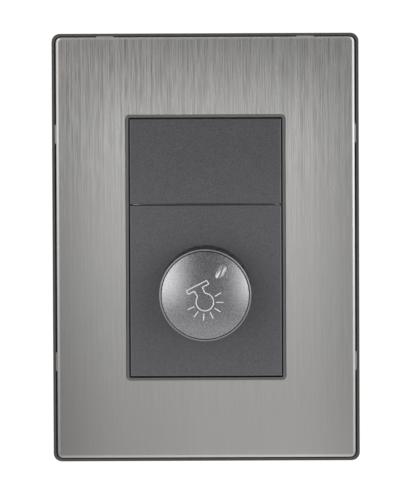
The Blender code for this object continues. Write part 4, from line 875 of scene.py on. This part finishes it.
def ink_tree():
    graph, given = new_tree("ink", RAYS)
    outline = graph.node("GeometryNodeMeshToCurve", {}, {0: given["Geometry"]})
    paths = graph.node("GeometryNodeJoinGeometry", {}, {0: outline})
    graph.feed(paths.socket.node.inputs[0], ray_fan(graph, given))
    even = graph.node("GeometryNodeResampleCurve", {"mode": "LENGTH"},
                      {"Curve": paths, "Length": PATH_STEP})
    section = graph.node("GeometryNodeCurvePrimitiveCircle", {},
                         {"Resolution": 8, "Radius": given["Line Width"] / 2})
    bars = graph.node("GeometryNodeCurveToMesh", {},
                      {"Curve": even, "Profile Curve": section, "Fill Caps": True})
    end_tree(graph, bars, given["Material"])
    return graph.tree


print("rays:", RAYS["Rays"], "of", round((RAYS["Ray To"] - RAYS["Ray From"]) / MM, 1), "mm")

# %% Lay the bars on the dome
INK_LIFT, INK_SQUASH = 0.015 * MM, 0.12


def make_mark():
    drawn = bmesh.new()
    dots = [drawn.verts.new((p.x, 0, p.y)) for p in lamp_outline()]
    for a, b in zip(dots, dots[1:]):
        drawn.edges.new((a, b))
    path = bpy.data.meshes.new("lamp_mark")
    drawn.to_mesh(path)
    drawn.free()
    ink = grown("lamp_mark", path, ink_tree(), RAYS, "printed_mark")
    for vertex in ink.vertices:
        x, thick, z = vertex.co
        vertex.co = (x, -(dome_out(x, z) + INK_LIFT - thick * INK_SQUASH), z + KNOB_UP)
    new_piece("lamp_mark", ink, "knob", "cap_silver")


make_mark()

# %% [markdown]
# ## Threads on the fixing screws
# A thread is one small section swept along a helix. The tree makes one helix from a radius, a
# length and a pitch, and puts it on each point of the mesh it is given, so two points give the
# threads of both screws. The solid screws stay, and the ridges sit on their shanks.

# %% The thread's tree
THREAD_FROM, TIP_SPARE = 3 * MM, 1 * MM
THREAD_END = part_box("fixing_screw_top")[1][1] - TIP_SPARE
THREAD = {"Radius": 1.72 * MM, "Length": THREAD_END - THREAD_FROM, "Pitch": 0.8 * MM,
          "Ridge": 0.2 * MM}


def thread_tree():
    graph, given = new_tree("threads", THREAD)
    turns = given["Length"] / given["Pitch"]
    helix = graph.node("GeometryNodeCurveSpiral", {}, {
        "Resolution": 24, "Rotations": turns, "Start Radius": given["Radius"],
        "End Radius": given["Radius"], "Height": given["Length"]})
    section = graph.node("GeometryNodeCurvePrimitiveCircle", {},
                         {"Resolution": 4, "Radius": given["Ridge"]})
    ridge = graph.node("GeometryNodeCurveToMesh", {},
                       {"Curve": helix, "Profile Curve": section, "Fill Caps": True})
    lying = graph.node("GeometryNodeTransform", {},
                       {"Geometry": ridge, "Rotation": (-math.pi / 2, 0, 0)})
    each = graph.node("GeometryNodeInstanceOnPoints", {},
                      {"Points": given["Geometry"], "Instance": lying})
    end_tree(graph, each, given["Material"])
    return graph.tree


print("each thread has", round(THREAD["Length"] / THREAD["Pitch"], 1), "turns")

# %% Grow the threads
def make_threads():
    spots = bmesh.new()
    for screw in ("fixing_screw_top", "fixing_screw_bottom"):
        low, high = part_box(screw)
        spots.verts.new(((low[0] + high[0]) / 2, THREAD_FROM, (low[2] + high[2]) / 2))
    points = bpy.data.meshes.new("screw_threads")
    spots.to_mesh(points)
    spots.free()
    threads = grown("screw_threads", points, thread_tree(), THREAD, "zinc_steel")
    shade(threads, sharp=40)
    new_piece("screw_threads", threads, "wall_part", "zinc_steel")


make_threads()

# %% [markdown]
# ## Light and surroundings
# Satin metal shows what stands around it. Two soft boxes stand left and right of the plate, a
# little above its middle. They draw the two bright patches on the knob's cap and the bright line
# down each edge of the face. The room behind the camera is grey, so the flat metal stays grey,
# and a strip overhead and a pale floor fill the top and bottom edges. The world's light is
# written as soft boxes by direction, and the camera itself sees plain white.

# %% Light the scene
ROOM, ROOM_FALL = 0.3, 0.5
BOXES_OFF_CENTRE = 0.03
BOX_LIGHT, BOX_SLANT = 3.95, 0.6
TOP_LIGHT, FLOOR_LIGHT = 0.9, 0.7
WHITE_SEEN = 1.05


def light_level(graph, across, up):
    """How bright the surroundings are in a direction."""
    side = graph.maths("ABSOLUTE", across - BOXES_OFF_CENTRE)
    boxes = graph.step(side, 0.21, 0.39) * graph.step(up, -0.3, 0.02) * graph.step(up, 0.95, 0.4)
    edge_on = graph.step(side, 0.9, 0.5, 0.5, 1.0)
    top = graph.step(up, 0.5, 0.75)
    below = graph.step(up, -0.2, -0.6)
    return (ROOM - up * ROOM_FALL + boxes * edge_on * (BOX_LIGHT + across * BOX_SLANT)
            + top * TOP_LIGHT + below * FLOOR_LIGHT)


def light_world():
    world = bpy.data.worlds.new("studio")
    world.use_nodes = True
    scene.world = world
    graph = Graph(world.node_tree)
    way = graph.node("ShaderNodeTexCoord", output="Generated")
    across = graph.node("ShaderNodeSeparateXYZ", {}, {0: way})
    level = light_level(graph, across, across.out("Z"))
    seen = graph.node("ShaderNodeLightPath", output="Is Camera Ray")
    back = world.node_tree.nodes["Background"]
    back.inputs["Color"].default_value = (1, 0.995, 0.99, 1)
    graph.feed(back.inputs["Strength"], level * (1 - seen) + seen * WHITE_SEEN)


light_world()
print("the studio's light comes from", scene.world.name)

# %% Lay the floor
FLOOR_RADIUS, FLOOR_DOWN = 0.55, 0.2


def make_floor():
    disc = bmesh.new()
    bmesh.ops.create_circle(disc, cap_ends=True, segments=96, radius=FLOOR_RADIUS)
    bmesh.ops.translate(disc, verts=disc.verts, vec=(0, 0, -FLOOR_DOWN))
    mesh = bpy.data.meshes.new("floor")
    disc.to_mesh(mesh)
    disc.free()
    floor = bpy.data.objects.new("floor", mesh)
    scene.collection.objects.link(floor)
    pale = Finish("floor_paint", (0.8, 0.8, 0.8), 0.8)
    pale.set("Base Color", pale.tint(pale.noise((0.02, 0.02, 0.02)) * 0.04 - 0.02))
    mesh.materials.append(pale.material)


make_floor()
print("the floor lies", FLOOR_DOWN, "m below the plate's middle")
